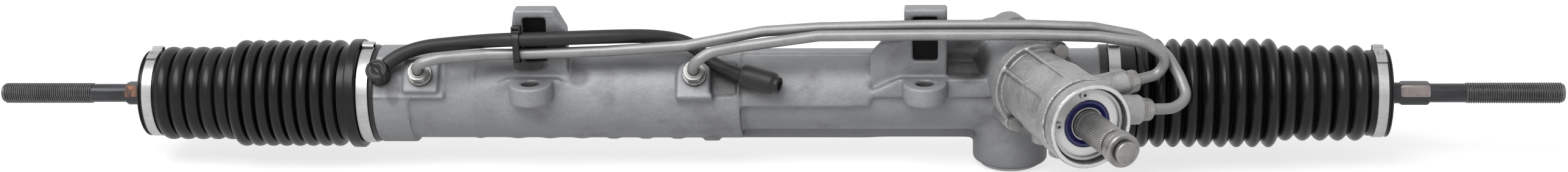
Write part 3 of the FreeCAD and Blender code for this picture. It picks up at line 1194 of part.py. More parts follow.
os.makedirs("parts", exist_ok=True)
faults = [item.Label for item in document.Objects if "Invalid" in item.State or "Error" in item.State]
for label, item in parts.items():
    if item.Shape.isNull() or not item.Shape.isValid():
        faults.append(label)
if faults:
    raise RuntimeError("faulty objects: %s" % ", ".join(faults))
for label, item in parts.items():
    item.Shape.exportStep("parts/%s.step" % label)
    print(label, "solids", len(item.Shape.Solids), "volume %.0f" % item.Shape.Volume)
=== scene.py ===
"""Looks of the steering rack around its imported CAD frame."""
import json
import math

import bmesh
import bpy
from mathutils import Matrix, Vector
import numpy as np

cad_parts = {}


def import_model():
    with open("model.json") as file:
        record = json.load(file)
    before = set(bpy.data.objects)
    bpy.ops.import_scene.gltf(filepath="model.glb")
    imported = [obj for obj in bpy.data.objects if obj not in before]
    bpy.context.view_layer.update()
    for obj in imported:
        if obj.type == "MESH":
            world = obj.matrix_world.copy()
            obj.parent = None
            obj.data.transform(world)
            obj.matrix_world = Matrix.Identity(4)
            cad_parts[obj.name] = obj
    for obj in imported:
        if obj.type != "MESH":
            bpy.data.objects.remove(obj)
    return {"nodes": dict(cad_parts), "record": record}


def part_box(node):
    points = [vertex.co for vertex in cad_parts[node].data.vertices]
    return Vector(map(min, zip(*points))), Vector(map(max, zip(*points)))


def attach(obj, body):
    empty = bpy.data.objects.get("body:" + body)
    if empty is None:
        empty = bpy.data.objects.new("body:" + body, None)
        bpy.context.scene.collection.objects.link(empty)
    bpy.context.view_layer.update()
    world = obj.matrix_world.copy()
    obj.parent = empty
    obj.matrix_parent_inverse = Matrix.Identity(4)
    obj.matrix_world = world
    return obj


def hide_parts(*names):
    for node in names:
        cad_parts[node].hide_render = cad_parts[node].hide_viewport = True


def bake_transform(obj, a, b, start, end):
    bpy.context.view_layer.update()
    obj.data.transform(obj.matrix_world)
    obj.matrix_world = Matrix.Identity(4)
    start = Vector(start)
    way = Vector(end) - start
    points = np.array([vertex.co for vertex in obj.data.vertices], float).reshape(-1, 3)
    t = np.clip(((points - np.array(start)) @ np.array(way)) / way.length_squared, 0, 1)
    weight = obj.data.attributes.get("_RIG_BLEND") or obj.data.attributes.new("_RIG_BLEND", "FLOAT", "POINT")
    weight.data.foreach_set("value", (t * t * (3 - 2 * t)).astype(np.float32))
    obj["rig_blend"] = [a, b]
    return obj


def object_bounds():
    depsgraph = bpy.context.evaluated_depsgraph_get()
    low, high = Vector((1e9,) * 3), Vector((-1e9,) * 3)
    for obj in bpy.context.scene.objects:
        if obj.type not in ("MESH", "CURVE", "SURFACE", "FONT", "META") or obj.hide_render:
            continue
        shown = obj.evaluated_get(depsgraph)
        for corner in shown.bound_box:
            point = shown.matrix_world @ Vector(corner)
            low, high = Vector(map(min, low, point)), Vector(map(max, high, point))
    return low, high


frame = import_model()
cad_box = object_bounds()

# Units and directions; lengths are in millimetres where nothing else is said
MM = 0.001
RIGHT = Vector((1.0, 0.0, 0.0))
LEFT = Vector((-1.0, 0.0, 0.0))
UP = Vector((0.0, 0.0, 1.0))
OUTWARDS = {"left": LEFT, "right": RIGHT}
ALIKE = (1.0, 1.0, 1.0)

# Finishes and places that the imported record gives
RECORD = frame["record"]
SLOTS = {part["node"]: part["material_slot"] for part in RECORD["subparts"]}
JOINTS = {joint["name"]: joint for joint in RECORD["behaviour"]["joints"]}
MOUNTS = {mount["name"]: mount["dims"] for mount in RECORD["mounts"]}
BALLS = {word: Vector(JOINTS["tie_rod_%s_swing" % word]["pos_m"]) / MM for word in OUTWARDS}
RACK = Vector((0.0, BALLS["left"].y, BALLS["left"].z))
PINION = Vector(JOINTS["pinion_spin"]["pos_m"]) / MM
PINION_WAY = Vector(JOINTS["pinion_spin"]["axis"])
PINION_SIDE = UP.cross(PINION_WAY)
BOLT_REACH = MOUNTS["mounting_bolts"]["spacing_x_mm"] / 2
ROD_THREAD = MOUNTS["left_rod_thread"]

# Places that the record doesn't give; a tower port has a station and its degrees above level
PORT_TILT = math.radians(50.0)
PORT_WAY = Vector((0.0, -math.sin(PORT_TILT), math.cos(PORT_TILT)))
PORT_SEAT = 35.0
LINE_PORTS = {"left_union": -206.3, "middle_union": -21.6}
TOWER_SEAT = 49.0
TOWER_PORTS = {"rear_union": (71.0, 6.0), "front_union": (91.5, -7.0)}
BREATHER_STATION = -234.0
NECK_RADIUS = 31.05


# Objects, numbers and shader nodes
def linked(name, data):
    """New object in the scene."""
    item = bpy.data.objects.new(name, data)
    bpy.context.collection.objects.link(item)
    return item


def evaluated(item):
    """New mesh of an object with its modifiers applied."""
    return bpy.data.meshes.new_from_object(item.evaluated_get(bpy.context.evaluated_depsgraph_get()))


def ends(node):
    """Inner and outer end of a node, as stations along the rack from its middle."""
    low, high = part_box(node)
    return sorted((abs(low.x) / MM, abs(high.x) / MM))


def ramp(value, start, end):
    """0 before the start, 1 past the end and even between them; the end may be the lower one."""
    return min(1.0, max(0.0, (value - start) / (end - start)))


def span(tree, source, low, high, start=0.0, end=1.0):
    """Source between low and high, mapped to start and end."""
    node = tree.nodes.new("ShaderNodeMapRange")
    node.inputs["From Min"].default_value = low
    node.inputs["From Max"].default_value = high
    node.inputs["To Min"].default_value = start
    node.inputs["To Max"].default_value = end
    tree.links.new(source, node.inputs["Value"])
    return node.outputs[0]


def combined(tree, operation, first, second):
    """Two values put together by one operation; the second may be a number."""
    node = tree.nodes.new("ShaderNodeMath")
    node.operation = operation
    tree.links.new(first, node.inputs[0])
    if isinstance(second, float):
        node.inputs[1].default_value = second
    else:
        tree.links.new(second, node.inputs[1])
    return node.outputs[0]


def mixed(tree, share, first, second, mode="MIX"):
    """Colour mix; first and second are sockets or colours."""
    node = tree.nodes.new("ShaderNodeMix")
    node.data_type = "RGBA"
    node.blend_type = mode
    tree.links.new(share, node.inputs["Factor"])
    for socket, given in (("A", first), ("B", second)):
        inlet = [s for s in node.inputs if s.name == socket and s.type == "RGBA"][0]
        if isinstance(given, tuple):
            inlet.default_value = given + (1.0,)
        else:
            tree.links.new(given, inlet)
    return [s for s in node.outputs if s.type == "RGBA"][0]


def noise(tree, scale, detail, stretch=ALIKE):
    """Noise in the object's own coordinates; scale is in cells per metre."""
    place = tree.nodes.new("ShaderNodeTexCoord")
    mapping = tree.nodes.new("ShaderNodeMapping")
    mapping.inputs["Scale"].default_value = stretch
    tree.links.new(place.outputs["Object"], mapping.inputs["Vector"])
    texture = tree.nodes.new("ShaderNodeTexNoise")
    texture.inputs["Scale"].default_value = scale
    texture.inputs["Detail"].default_value = detail
    texture.inputs["Roughness"].default_value = 0.6
    tree.links.new(mapping.outputs[0], texture.inputs["Vector"])
    return texture.outputs["Fac"]


def edges(tree, radius):
    """1 along edges sharper than the radius, 0 on open faces."""
    bevel = tree.nodes.new("ShaderNodeBevel")
    bevel.samples = 6
    bevel.inputs["Radius"].default_value = radius * MM
    plain = tree.nodes.new("ShaderNodeNewGeometry")
    dot = tree.nodes.new("ShaderNodeVectorMath")
    dot.operation = "DOT_PRODUCT"
    tree.links.new(bevel.outputs[0], dot.inputs[0])
    tree.links.new(plain.outputs["Normal"], dot.inputs[1])
    return span(tree, dot.outputs["Value"], 0.995, 0.85)


def hollows(tree, reach):
    """1 in corners and recesses, 0 in the open, by ambient occlusion; it masks painted shade."""
    shade = tree.nodes.new("ShaderNodeAmbientOcclusion")
    shade.samples = 6
    shade.inputs["Distance"].default_value = reach * MM
    return span(tree, shade.outputs["AO"], 0.85, 0.35)


def bumped(tree, height, strength, depth):
    """Bump node over a height."""
    node = tree.nodes.new("ShaderNodeBump")
    node.inputs["Strength"].default_value = strength
    node.inputs["Distance"].default_value = depth * MM
    tree.links.new(height, node.inputs["Height"])
    return node


def seen_share(tree):
    """1 for camera, glossy and transmission rays, 0 for the light that falls on things."""
    path = tree.nodes.new("ShaderNodeLightPath")
    result = path.outputs["Is Camera Ray"]
    for kind in ("Is Glossy Ray", "Is Transmission Ray"):
        result = combined(tree, "MAXIMUM", result, path.outputs[kind])
    return result


# Camera and light
def camera():
    """Long lens from the photograph's side, a little above the rack."""
    sensor_width = 36.0
    distance_in_metres = 1.605
    photo_width, focal_pixels, shift_pixels = 2576.0, 3900.0, 11.3
    elevation = math.radians(20.0)
    aside = 0.072
    forward = Vector((-aside, math.sqrt(1 - aside ** 2 - math.sin(elevation) ** 2), -math.sin(elevation)))
    up = Vector((0, -forward.z, forward.y)).normalized()
    right = forward.cross(up)
    target = (RACK + RIGHT * 35.5) * MM
    data = bpy.data.cameras.new("camera")
    data.sensor_width = sensor_width
    data.lens = focal_pixels / photo_width * sensor_width
    data.shift_y = shift_pixels / photo_width
    data.clip_start = 0.05
    data.clip_end = 20.0
    item = linked("camera", data)
    rotation = Matrix((right, up, -forward)).transposed().to_4x4()
    item.matrix_world = Matrix.Translation(target - forward * distance_in_metres) @ rotation
    bpy.context.scene.camera = item


def area_light(name, place, target, size, power):
    """Soft rectangular lamp turned at a point; lengths are in metres."""
    data = bpy.data.lights.new(name, "AREA")
    data.shape = "RECTANGLE"
    data.size, data.size_y = size
    data.energy = power
    item = linked(name, data)
    turn = (Vector(target) - Vector(place)).to_track_quat("-Z", "Y")
    item.matrix_world = Matrix.Translation(Vector(place)) @ turn.to_matrix().to_4x4()


def world():
    """Even surroundings that read white to the camera and in reflections."""
    lighting, seen = 0.4, 1.0
    surroundings = bpy.data.worlds.new("surroundings")
    bpy.context.scene.world = surroundings
    surroundings.use_nodes = True
    tree = surroundings.node_tree
    tree.nodes.clear()
    background = tree.nodes.new("ShaderNodeBackground")
    background.inputs["Color"].default_value = (1.0, 1.0, 1.0, 1.0)
    strength = span(tree, seen_share(tree), 0.0, 1.0, lighting, seen)
    tree.links.new(strength, background.inputs["Strength"])
    output = tree.nodes.new("ShaderNodeOutputWorld")
    tree.links.new(background.outputs[0], output.inputs["Surface"])


def floor():
    """Plain pale floor under the lowest point; it reads white and keeps the shadow."""
    half_in_metres = 6.0
    gap = 0.5
    tone, glow = 0.38, 0.72
    level = cad_box[0][2] - gap * MM
    mesh = bpy.data.meshes.new("floor")
    corners = [(x * half_in_metres, y * half_in_metres, level)
               for x, y in ((-1, -1), (1, -1), (1, 1), (-1, 1))]
    mesh.from_pydata(corners, [], [(0, 1, 2, 3)])
    item = linked("floor", mesh)
    material = bpy.data.materials.new("floor")
    material.use_nodes = True
    tree = material.node_tree
    shader = tree.nodes["Principled BSDF"]
    shader.inputs["Base Color"].default_value = (tone, tone, tone, 1.0)
    shader.inputs["Roughness"].default_value = 0.9
    shader.inputs["Emission Color"].default_value = (1.0, 1.0, 1.0, 1.0)
    lift = combined(tree, "MULTIPLY", seen_share(tree), glow)
    tree.links.new(lift, shader.inputs["Emission Strength"])
    mesh.materials.append(material)


# Materials
def surface(name, colour, spread, metallic, roughness, broad=35.0, fine=900.0, depth=0.08,
            edge=None, dirt_and_shade=None, stretch=ALIKE, stain=None, specular=0.5,
            flow=ALIKE, shade=None, lumps=None, painted_shadow=None):
    """Material with mottled colour, grain, worn edges, stains, and dirt with painted shade in its corners.

    broad and fine are the noise scales of mottle and grain, flow and stretch draw them out.
    spread is how far the mottle varies, depth is that of the grain.
    edge is a gain and a radius, dirt_and_shade and shade are a gain and a reach, lumps a scale and a depth.
    dirt_and_shade darkens corners by ambient occlusion, partly dirt and partly painted shade; shade is
    broader painted shade in recesses.
    stain is a colour, a noise scale, the level where it starts and its share. painted_shadow is the colour
    of the near-black painted shadow spots where shade falls, which a mesh carries as its painted_shadow
    attribute.
    """
    sheen = 0.07
    material = bpy.data.materials.new(name)
    material.use_nodes = True
    tree = material.node_tree
    shader = tree.nodes["Principled BSDF"]
    shader.inputs["Metallic"].default_value = metallic
    shader.inputs["Specular IOR Level"].default_value = specular
    mottle = noise(tree, broad, 6.0, flow)
    grain = noise(tree, fine, 3.0, stretch)
    dark = tuple(c * (1 - spread) for c in colour)
    pale = tuple(min(1.0, c * (1 + spread)) for c in colour)
    tint = mixed(tree, span(tree, mottle, 0.3, 0.7), dark, pale)
    speck = span(tree, grain, 0.25, 0.75, 0.86, 1.12)
    combine = tree.nodes.new("ShaderNodeCombineColor")
    for channel in ("Red", "Green", "Blue"):
        tree.links.new(speck, combine.inputs[channel])
    whole = tree.nodes.new("ShaderNodeValue")
    whole.outputs[0].default_value = 1.0
    tint = mixed(tree, whole.outputs[0], tint, combine.outputs[0], "MULTIPLY")
    shine = span(tree, mottle, 0.25, 0.75, roughness - sheen, roughness + sheen)
    if stain:
        stain_colour, scale, level, share = stain
        patches = span(tree, noise(tree, scale, 5.0), level, level + 0.12, 0.0, share)
        tint = mixed(tree, patches, tint, stain_colour)
    if shade:
        # Painted shade: broad darkening of recesses by ambient occlusion.
        gain, reach = shade
        tint = mixed(tree, hollows(tree, reach), tint, (gain, gain, gain * 1.02), "MULTIPLY")
    if dirt_and_shade:
        # Darkening in corners and recesses by ambient occlusion: partly dirt, partly painted shade.
        gain, reach = dirt_and_shade
        tint = mixed(tree, hollows(tree, reach), tint, tuple(c * gain for c in colour))
    if painted_shadow:
        # Painted shadow: near-black spots where shade falls, from the mesh's share per vertex.
        spot = tree.nodes.new("ShaderNodeAttribute")
        spot.attribute_name = "painted_shadow"
        ragged = span(tree, noise(tree, 70.0, 5.0), 0.3, 0.6, 0.6, 1.0)
        tint = mixed(tree, combined(tree, "MULTIPLY", spot.outputs["Fac"], ragged), tint, painted_shadow)
    if edge:
        gain, radius = edge
        tint = mixed(tree, edges(tree, radius), tint, tuple(min(1.0, c * gain) for c in colour))
    tree.links.new(tint, shader.inputs["Base Color"])
    tree.links.new(shine, shader.inputs["Roughness"])
    bump = bumped(tree, grain, 0.6, depth)
    if lumps:
        scale, height = lumps
        rough = bumped(tree, noise(tree, scale, 4.0), 0.7, height)
        tree.links.new(rough.outputs[0], bump.inputs["Normal"])
    tree.links.new(bump.outputs[0], shader.inputs["Normal"])
    return material


# One finish for each material slot of the record, and five for single pieces or faces
FINISHES = {
    "casting": surface("cast_aluminium", (0.285, 0.29, 0.3), spread=0.15, metallic=0.3, roughness=0.55,
                       broad=26.0, fine=1100.0, depth=0.16, edge=(1.5, 0.8), dirt_and_shade=(0.42, 8.0),
                       stain=((0.16, 0.16, 0.165), 30.0, 0.56, 0.5), shade=(0.55, 32.0),
                       lumps=(130.0, 1.0), painted_shadow=(0.035, 0.034, 0.034)),
    "bright_casting": surface("bright_aluminium", (0.36, 0.36, 0.36), spread=0.26, metallic=0.5,
                              roughness=0.4, broad=60.0, fine=1300.0, depth=0.14, edge=(1.7, 0.7),
                              dirt_and_shade=(0.35, 6.0), stain=((0.2, 0.2, 0.205), 60.0, 0.55, 0.6),
                              shade=(0.6, 26.0), lumps=(240.0, 1.1)),
    "faced": surface("faced_aluminium", (0.66, 0.66, 0.655), spread=0.08, metallic=0.6, roughness=0.36,
                     broad=90.0, fine=1500.0, depth=0.02, edge=(1.2, 0.4), dirt_and_shade=(0.4, 4.0)),
    "steel": surface("machined_steel", (0.42, 0.42, 0.43), spread=0.1, metallic=0.85, roughness=0.32,
                     broad=60.0, fine=1500.0, depth=0.02, edge=(1.4, 0.4), dirt_and_shade=(0.5, 4.0)),
    "shaft_steel": surface("splined_steel", (0.26, 0.255, 0.25), spread=0.25, metallic=0.8,
                           roughness=0.34, broad=90.0, fine=1300.0, depth=0.03, edge=(1.9, 0.35),
                           dirt_and_shade=(0.3, 2.5), stain=((0.15, 0.12, 0.1), 110.0, 0.58, 0.5)),
    "dark_steel": surface("forged_steel", (0.036, 0.037, 0.042), spread=0.6, metallic=0.5, roughness=0.3,
                          broad=230.0, fine=900.0, depth=0.05, edge=(3.0, 0.5), dirt_and_shade=(0.4, 5.0),
                          stain=((0.14, 0.075, 0.045), 55.0, 0.64, 0.5), flow=(0.12, 1.0, 1.0)),
    "rolled_thread": surface("rolled_thread", (0.13, 0.13, 0.132), spread=0.3, metallic=0.7, roughness=0.4,
                             broad=120.0, fine=1200.0, depth=0.03, edge=(2.6, 0.35), dirt_and_shade=(0.25, 1.6)),
    "bare_hexagon": surface("bare_hexagon", (0.24, 0.205, 0.2), spread=0.3, metallic=0.6, roughness=0.4,
                            broad=110.0, fine=1000.0, depth=0.05, edge=(1.5, 0.5), dirt_and_shade=(0.35, 4.0),
                            stain=((0.2, 0.1, 0.06), 60.0, 0.58, 0.6)),
    "rusty_hexagon": surface("rusty_hexagon", (0.36, 0.15, 0.08), spread=0.5, metallic=0.2,
                             roughness=0.55, broad=190.0, fine=1000.0, depth=0.08, edge=(1.3, 0.5),
                             dirt_and_shade=(0.25, 5.0), stain=((0.03, 0.022, 0.018), 120.0, 0.47, 0.95)),
    "clamp_steel": surface("strip_steel", (0.45, 0.45, 0.455), spread=0.14, metallic=0.8, roughness=0.33,
                           broad=60.0, fine=1500.0, depth=0.02, edge=(1.3, 0.3), dirt_and_shade=(0.3, 3.0),
                           stretch=(0.05, 1.0, 1.0)),
    "line_steel": surface("plated_tube", (0.275, 0.275, 0.272), spread=0.12, metallic=0.4, roughness=0.46,
                          broad=50.0, fine=900.0, depth=0.03, dirt_and_shade=(0.5, 5.0),
                          stain=((0.17, 0.165, 0.16), 60.0, 0.6, 0.5)),
    "zinc": surface("zinc_plate", (0.3, 0.295, 0.285), spread=0.22, metallic=0.55, roughness=0.45,
                    broad=120.0, fine=1200.0, depth=0.03, edge=(1.7, 0.4), dirt_and_shade=(0.4, 4.0)),
    "boot_rubber": surface("boot_rubber", (0.0055, 0.0055, 0.0063), spread=0.25, metallic=0.0,
                           roughness=0.3, broad=70.0, fine=1300.0, depth=0.05, dirt_and_shade=(0.4, 3.5),
                           stain=((0.009, 0.009, 0.009), 40.0, 0.6, 0.5), specular=0.26),
    "hose_rubber": surface("hose_rubber", (0.015, 0.015, 0.016), spread=0.2, metallic=0.0, roughness=0.5,
                           broad=90.0, fine=1500.0, depth=0.05, specular=0.35),
    "seal_rubber": surface("blue_rubber", (0.017, 0.018, 0.12), spread=0.2, metallic=0.0, roughness=0.35,
                           broad=200.0, fine=1600.0, depth=0.03),
    "black_seal": surface("black_rubber", (0.003, 0.003, 0.003), spread=0.2, metallic=0.0, roughness=0.6,
                          broad=90.0, fine=1300.0, depth=0.05, specular=0.12),
    "black_plastic": surface("black_plastic", (0.01, 0.01, 0.0105), spread=0.15, metallic=0.0,
                             roughness=0.42, broad=120.0, fine=1600.0, depth=0.03, specular=0.4),
    "white_plastic": surface("white_plastic", (0.7, 0.69, 0.65), spread=0.05, metallic=0.0, roughness=0.4,
                             broad=120.0, fine=1600.0, depth=0.02),
    "bronze": surface("bronze", (0.5, 0.34, 0.16), spread=0.12, metallic=0.9, roughness=0.35,
                      broad=120.0, fine=1500.0, depth=0.02),
}


# Shapes
def made(name, mesh, body, slot, replaced):
    """Puts a finished mesh in the scene as a piece of one body, in the place of some nodes."""
    mesh.materials.clear()
    mesh.materials.append(FINISHES[slot])
    item = linked(name, mesh)
    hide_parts(*replaced)
    if body:
        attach(item, body)
    return item


def touched(item, finish, chosen):
    """Gives the faces chosen by centre and normal another finish."""
    item.data.materials.append(FINISHES[finish])
    for face in item.data.polygons:
        if chosen(face.center / MM, face.normal):
            face.material_index = len(item.data.materials) - 1


def axes(direction):
    """Two unit vectors across a direction."""
    aside = Vector((0, 0, 1)) if abs(direction.z) < 0.9 else Vector((1, 0, 0))
    first = (aside - direction * aside.dot(direction)).normalized()
    return first, direction.cross(first)


def finished(work, name, crease):
    """Smooth mesh of the work, with sharp edges where two faces turn by more than the crease."""
    for face in work.faces:
        face.smooth = True
    for edge in work.edges:
        if len(edge.link_faces) == 2 and edge.calc_face_angle(0.0) > math.radians(crease):
            edge.smooth = False
    mesh = bpy.data.meshes.new(name)
    work.to_mesh(mesh)
    work.free()
    return mesh


def lathe(name, outline, base=RACK, direction=RIGHT, sides=96, shape=None):
    """Mesh of a closed outline of (along, radius) turned about an axis; shape bends the radius."""
    across, up = axes(direction)
    work = bmesh.new()
    rings = []
    for along, radius in outline:
        middle = base + direction * along
        if radius < 1e-6:
            rings.append([work.verts.new(middle * MM)])
            continue
        ring = []
        for i in range(sides):
            angle = 2 * math.pi * i / sides
            reach = shape(angle, along, radius) if shape else radius
            spoke = across * math.cos(angle) + up * math.sin(angle)
            ring.append(work.verts.new((middle + spoke * reach) * MM))
        rings.append(ring)
    for first, second in zip(rings, rings[1:] + rings[:1]):
        for i in range(sides):
            j = (i + 1) % sides
            corners = []
            for ring, k in ((first, i), (first, j), (second, j), (second, i)):
                corner = ring[k % len(ring)]
                if corner not in corners:
                    corners.append(corner)
            if len(corners) > 2:
                work.faces.new(corners)
    bmesh.ops.recalc_face_normals(work, faces=work.faces)
    return finished(work, name, 38.0)


def turned(name, outline, base, direction, body, slot, node, sides=96):
    """Piece turned about an axis, in the place of one node."""
    return made(name, lathe(name, outline, base, direction, sides), body, slot, (node,))


def rounded(outline, radius, steps=4, closed=True):
    """Outline with its corners rounded; radius is cut down where a side is short."""
    points = [Vector(p) for p in outline]
    count = len(points)
    result = []
    for i, corner in enumerate(points):
        before = points[i - 1]
        after = points[(i + 1) % count]
        if not closed and i in (0, count - 1):
            result.append(tuple(corner))
            continue
        reach = min(radius, 0.45 * (before - corner).length, 0.45 * (after - corner).length)
        first = corner + (before - corner).normalized() * reach
        last = corner + (after - corner).normalized() * reach
        for k in range(steps + 1):
            t = k / steps
            result.append(tuple(first * (1 - t) ** 2 + corner * 2 * t * (1 - t) + last * t * t))
    return result


def arc(radius, start, end, steps, middle=(0.0, 0.0)):
    """Points on a circle between two angles, both ends included."""
    points = []
    for i in range(steps + 1):
        angle = start + (end - start) * i / steps
        points.append((middle[0] + radius * math.cos(angle), middle[1] + radius * math.sin(angle)))
    return points


def hexagon(flats):
    """Keeps a radius inside a hexagon across its flats."""
    def limit(angle, along, radius):
        turn = (angle + math.pi / 6) % (math.pi / 3) - math.pi / 6
        return min(radius, flats / 2 / math.cos(turn))
    return limit


def thread(pitch, core):
    """Right-handed thread between a core radius and the outline's radius."""
    def crest(angle, along, radius):
        if radius <= core:
            return radius
        phase = (along / pitch - angle / (2 * math.pi)) % 1.0
        ridge = ramp(1 - abs(2 * phase - 1), 0.12, 0.88)
        return core + (radius - core) * ridge
    return crest


def serrations(count, depth, start, end):
    """Row of fine splines between two stations."""
    def reach(angle, along, radius):
        if not start < along < end:
            return radius
        return radius - depth * (0.5 - 0.5 * math.cos(count * angle)) ** 0.8
    return reach


def joined(name, meshes):
    """One mesh made of several."""
    work = bmesh.new()
    for mesh in meshes:
        work.from_mesh(mesh)
        bpy.data.meshes.remove(mesh)
    result = bpy.data.meshes.new(name)
    work.to_mesh(result)
    work.free()
    return result


def band(name, path, width, thickness, base, direction, closed=True):
    """Strip of some width bent along a path that lies across an axis."""
    across, up = axes(direction)
    half = width / 2
    section = [(-half, 0.0), (half, 0.0), (half, 0.6), (half - thickness * 0.3, 1.0),
               (-half + thickness * 0.3, 1.0), (-half, 0.6)]
    count = len(path)
    work = bmesh.new()
    rows = []
    for i, point in enumerate(path):
        before = path[i - 1] if closed or i else path[i]
        after = path[(i + 1) % count] if closed or i < count - 1 else path[i]
        way = (Vector(after) - Vector(before)).normalized()
        row = []
        for along, share in section:
            aside = point[0] + way.y * thickness * share
            rise = point[1] - way.x * thickness * share
            row.append(work.verts.new((base + direction * along + across * aside + up * rise) * MM))
        rows.append(row)
    pairs = list(zip(rows, rows[1:]))
    if closed:
        pairs.append((rows[-1], rows[0]))
    else:
        work.faces.new(rows[0])
        work.faces.new(rows[-1])
    for first, second in pairs:
        for i in range(len(section)):
            j = (i + 1) % len(section)
            work.faces.new((first[i], first[j], second[j], second[i]))
    bmesh.ops.recalc_face_normals(work, faces=work.faces)
    return finished(work, name, 35.0)


def soft_box(name, size, radius, place):
    """Box with rounded edges; place is its matrix in millimetres."""
    work = bmesh.new()
    bmesh.ops.create_cube(work, size=1.0)
    bmesh.ops.scale(work, vec=size, verts=work.verts)
    bmesh.ops.bevel(work, geom=work.edges[:], offset=radius, segments=3, profile=0.5, affect="EDGES")
    bmesh.ops.transform(work, matrix=Matrix.Scale(MM, 4) @ place, verts=work.verts)
    return finished(work, name, 40.0)


def frame_at(base, direction, up=None):
    """Matrix whose X axis lies along a direction, with its Z axis towards up."""
    first = up - direction * up.dot(direction) if up else axes(direction)[0]
    first.normalize()
    side = direction.cross(first)
    return Matrix.Translation(base) @ Matrix((direction, side * -1, first)).transposed().to_4x4()


def cut_out(mesh, cutter):
    """Mesh with a cutter mesh taken out of it."""
    body, tool = [linked(part.name + "_work", part) for part in (mesh, cutter)]
    taken = body.modifiers.new("taken", "BOOLEAN")
    taken.operation = "DIFFERENCE"
    taken.object = tool
    result = evaluated(body)
    for item in (body, tool):
        bpy.data.objects.remove(item)
    return result


# Castings
def refined(mesh, kind, settings, group=None):
    """New mesh made of one by a single modifier; group weighs the vertices."""
    item = linked(mesh.name + "_work", mesh)
    change = item.modifiers.new(kind.lower(), kind)
    for key, value in settings.items():
        setattr(change, key, value)
    if group:
        weights = item.vertex_groups.new(name="weights")
        for vertex in mesh.vertices:
            share = group(vertex.co / MM)
            if share > 0.0:
                weights.add([vertex.index], share, "REPLACE")
        change.vertex_group = "weights"
    result = evaluated(item)
    bpy.data.objects.remove(item)
    bpy.data.meshes.remove(mesh)
    return result


def near_bosses(point):
    """Share of the extra smoothing: full on the noses of the lugs, less round the line ports."""
    port_foot, port_share = 18.0, 0.4
    reach = Vector((abs(point.x) - BOLT_REACH, point.y)).length
    off_the_hole = ramp(reach, 8.5, 11.5)
    on_the_nose = ramp(reach, 50.0, 40.0)
    under_the_top = ramp(point.z, 12.5, 9.5)
    share = off_the_hole * on_the_nose * under_the_top
    for station in LINE_PORTS.values():
        offset = point - RACK - RIGHT * station
        height = offset.dot(PORT_WAY)
        across = (offset - PORT_WAY * height).length
        if height > port_foot:
            share = max(share, port_share * ramp(across, 34.0, 24.0))
    return share


# Painted shadow spots of the housing, near-black where shade falls in its recesses, under the hose and in the
# bolt holes: middle, radii and strength
SHADOW_SPOTS = (((160.0, 24.0, 21.0), (19.0, 30.0, 15.0), 0.85), ((-134.0, 12.0, 21.5), (15.0, 10.0, 5.0), 0.9),
         ((89.5, 14.0, 27.0), (4.5, 12.0, 5.0), 0.8), ((-100.0, 6.0, 15.3), (10.0, 12.0, 8.0), 0.6),
         ((2.0, 9.0, 12.0), (17.0, 14.0, 13.0), 0.6), ((-225.0, 10.0, 6.0), (6.0, 22.0, 12.0), 0.5),
         ((-BOLT_REACH, 0.0, 6.5), (8.5, 8.5, 10.0), 1.0), ((BOLT_REACH, 0.0, 6.5), (8.5, 8.5, 10.0), 1.0))


def paint_shadows(mesh):
    """Painted shadow in the recesses, under the hose and in the bolt holes of the casting, as a share per
    vertex.
    """
    attribute = mesh.attributes.new("painted_shadow", "FLOAT", "POINT")
    for vertex, entry in zip(mesh.vertices, attribute.data):
        share = 0.0
        for middle, radii, strength in SHADOW_SPOTS:
            offset = [(c / MM - m) / r for c, m, r in zip(vertex.co, middle, radii)]
            away = sum(value * value for value in offset)
            if away < 1.0:
                share = max(share, strength * min(1.0, 2.0 * (1.0 - away)))
        entry.value = share


def casting(node, voxel, rounds, softer=None):
    """Copy of a casting with cast radii in its corners and edges; softer weighs some extra rounds."""
    weld = 0.002
    extra_rounds = 45
    mesh = frame["nodes"][node].data.copy()
    work = bmesh.new()
    work.from_mesh(mesh)
    bmesh.ops.remove_doubles(work, verts=work.verts, dist=weld * MM)
    work.to_mesh(mesh)
    work.free()
    mesh = refined(mesh, "REMESH", {"mode": "VOXEL", "voxel_size": voxel * MM})
    mesh = refined(mesh, "SMOOTH", {"factor": 0.5, "iterations": rounds})
    if softer:
        mesh = refined(mesh, "SMOOTH", {"factor": 0.5, "iterations": extra_rounds}, softer)
        # Painted shadow spots in the casting's recesses, under the hose and in the bolt holes.
        paint_shadows(mesh)
    for face in mesh.polygons:
        face.use_smooth = True
    return made(node + "_cast", mesh, "housing", SLOTS[node], (node,))


def machined(centre, normal):
    """Faces turned on a lathe in the mouth of the tower."""
    mouth_start, mouth_radius, squareness = 108.0, 27.4, 0.75
    offset = centre - PINION
    along = offset.dot(PINION_WAY)
    inside = along > mouth_start and (offset - PINION_WAY * along).length < mouth_radius
    return inside and normal.dot(PINION_WAY) > squareness


# Boots
def lobes(start, end, count, crest, root, form):
    """Even row of rounded folds, from root to root; form gives their fullness."""
    pitch = (end - start) / count
    result = []
    steps = 12
    for number in range(count):
        for k in range(steps):
            across = -math.cos(math.pi * (k + 0.5) / steps)
            rise = (1 - abs(across) ** form[0]) ** form[1]
            result.append((start + pitch * (number + 0.5 + across / 2), root + (crest - root) * rise))
    return result


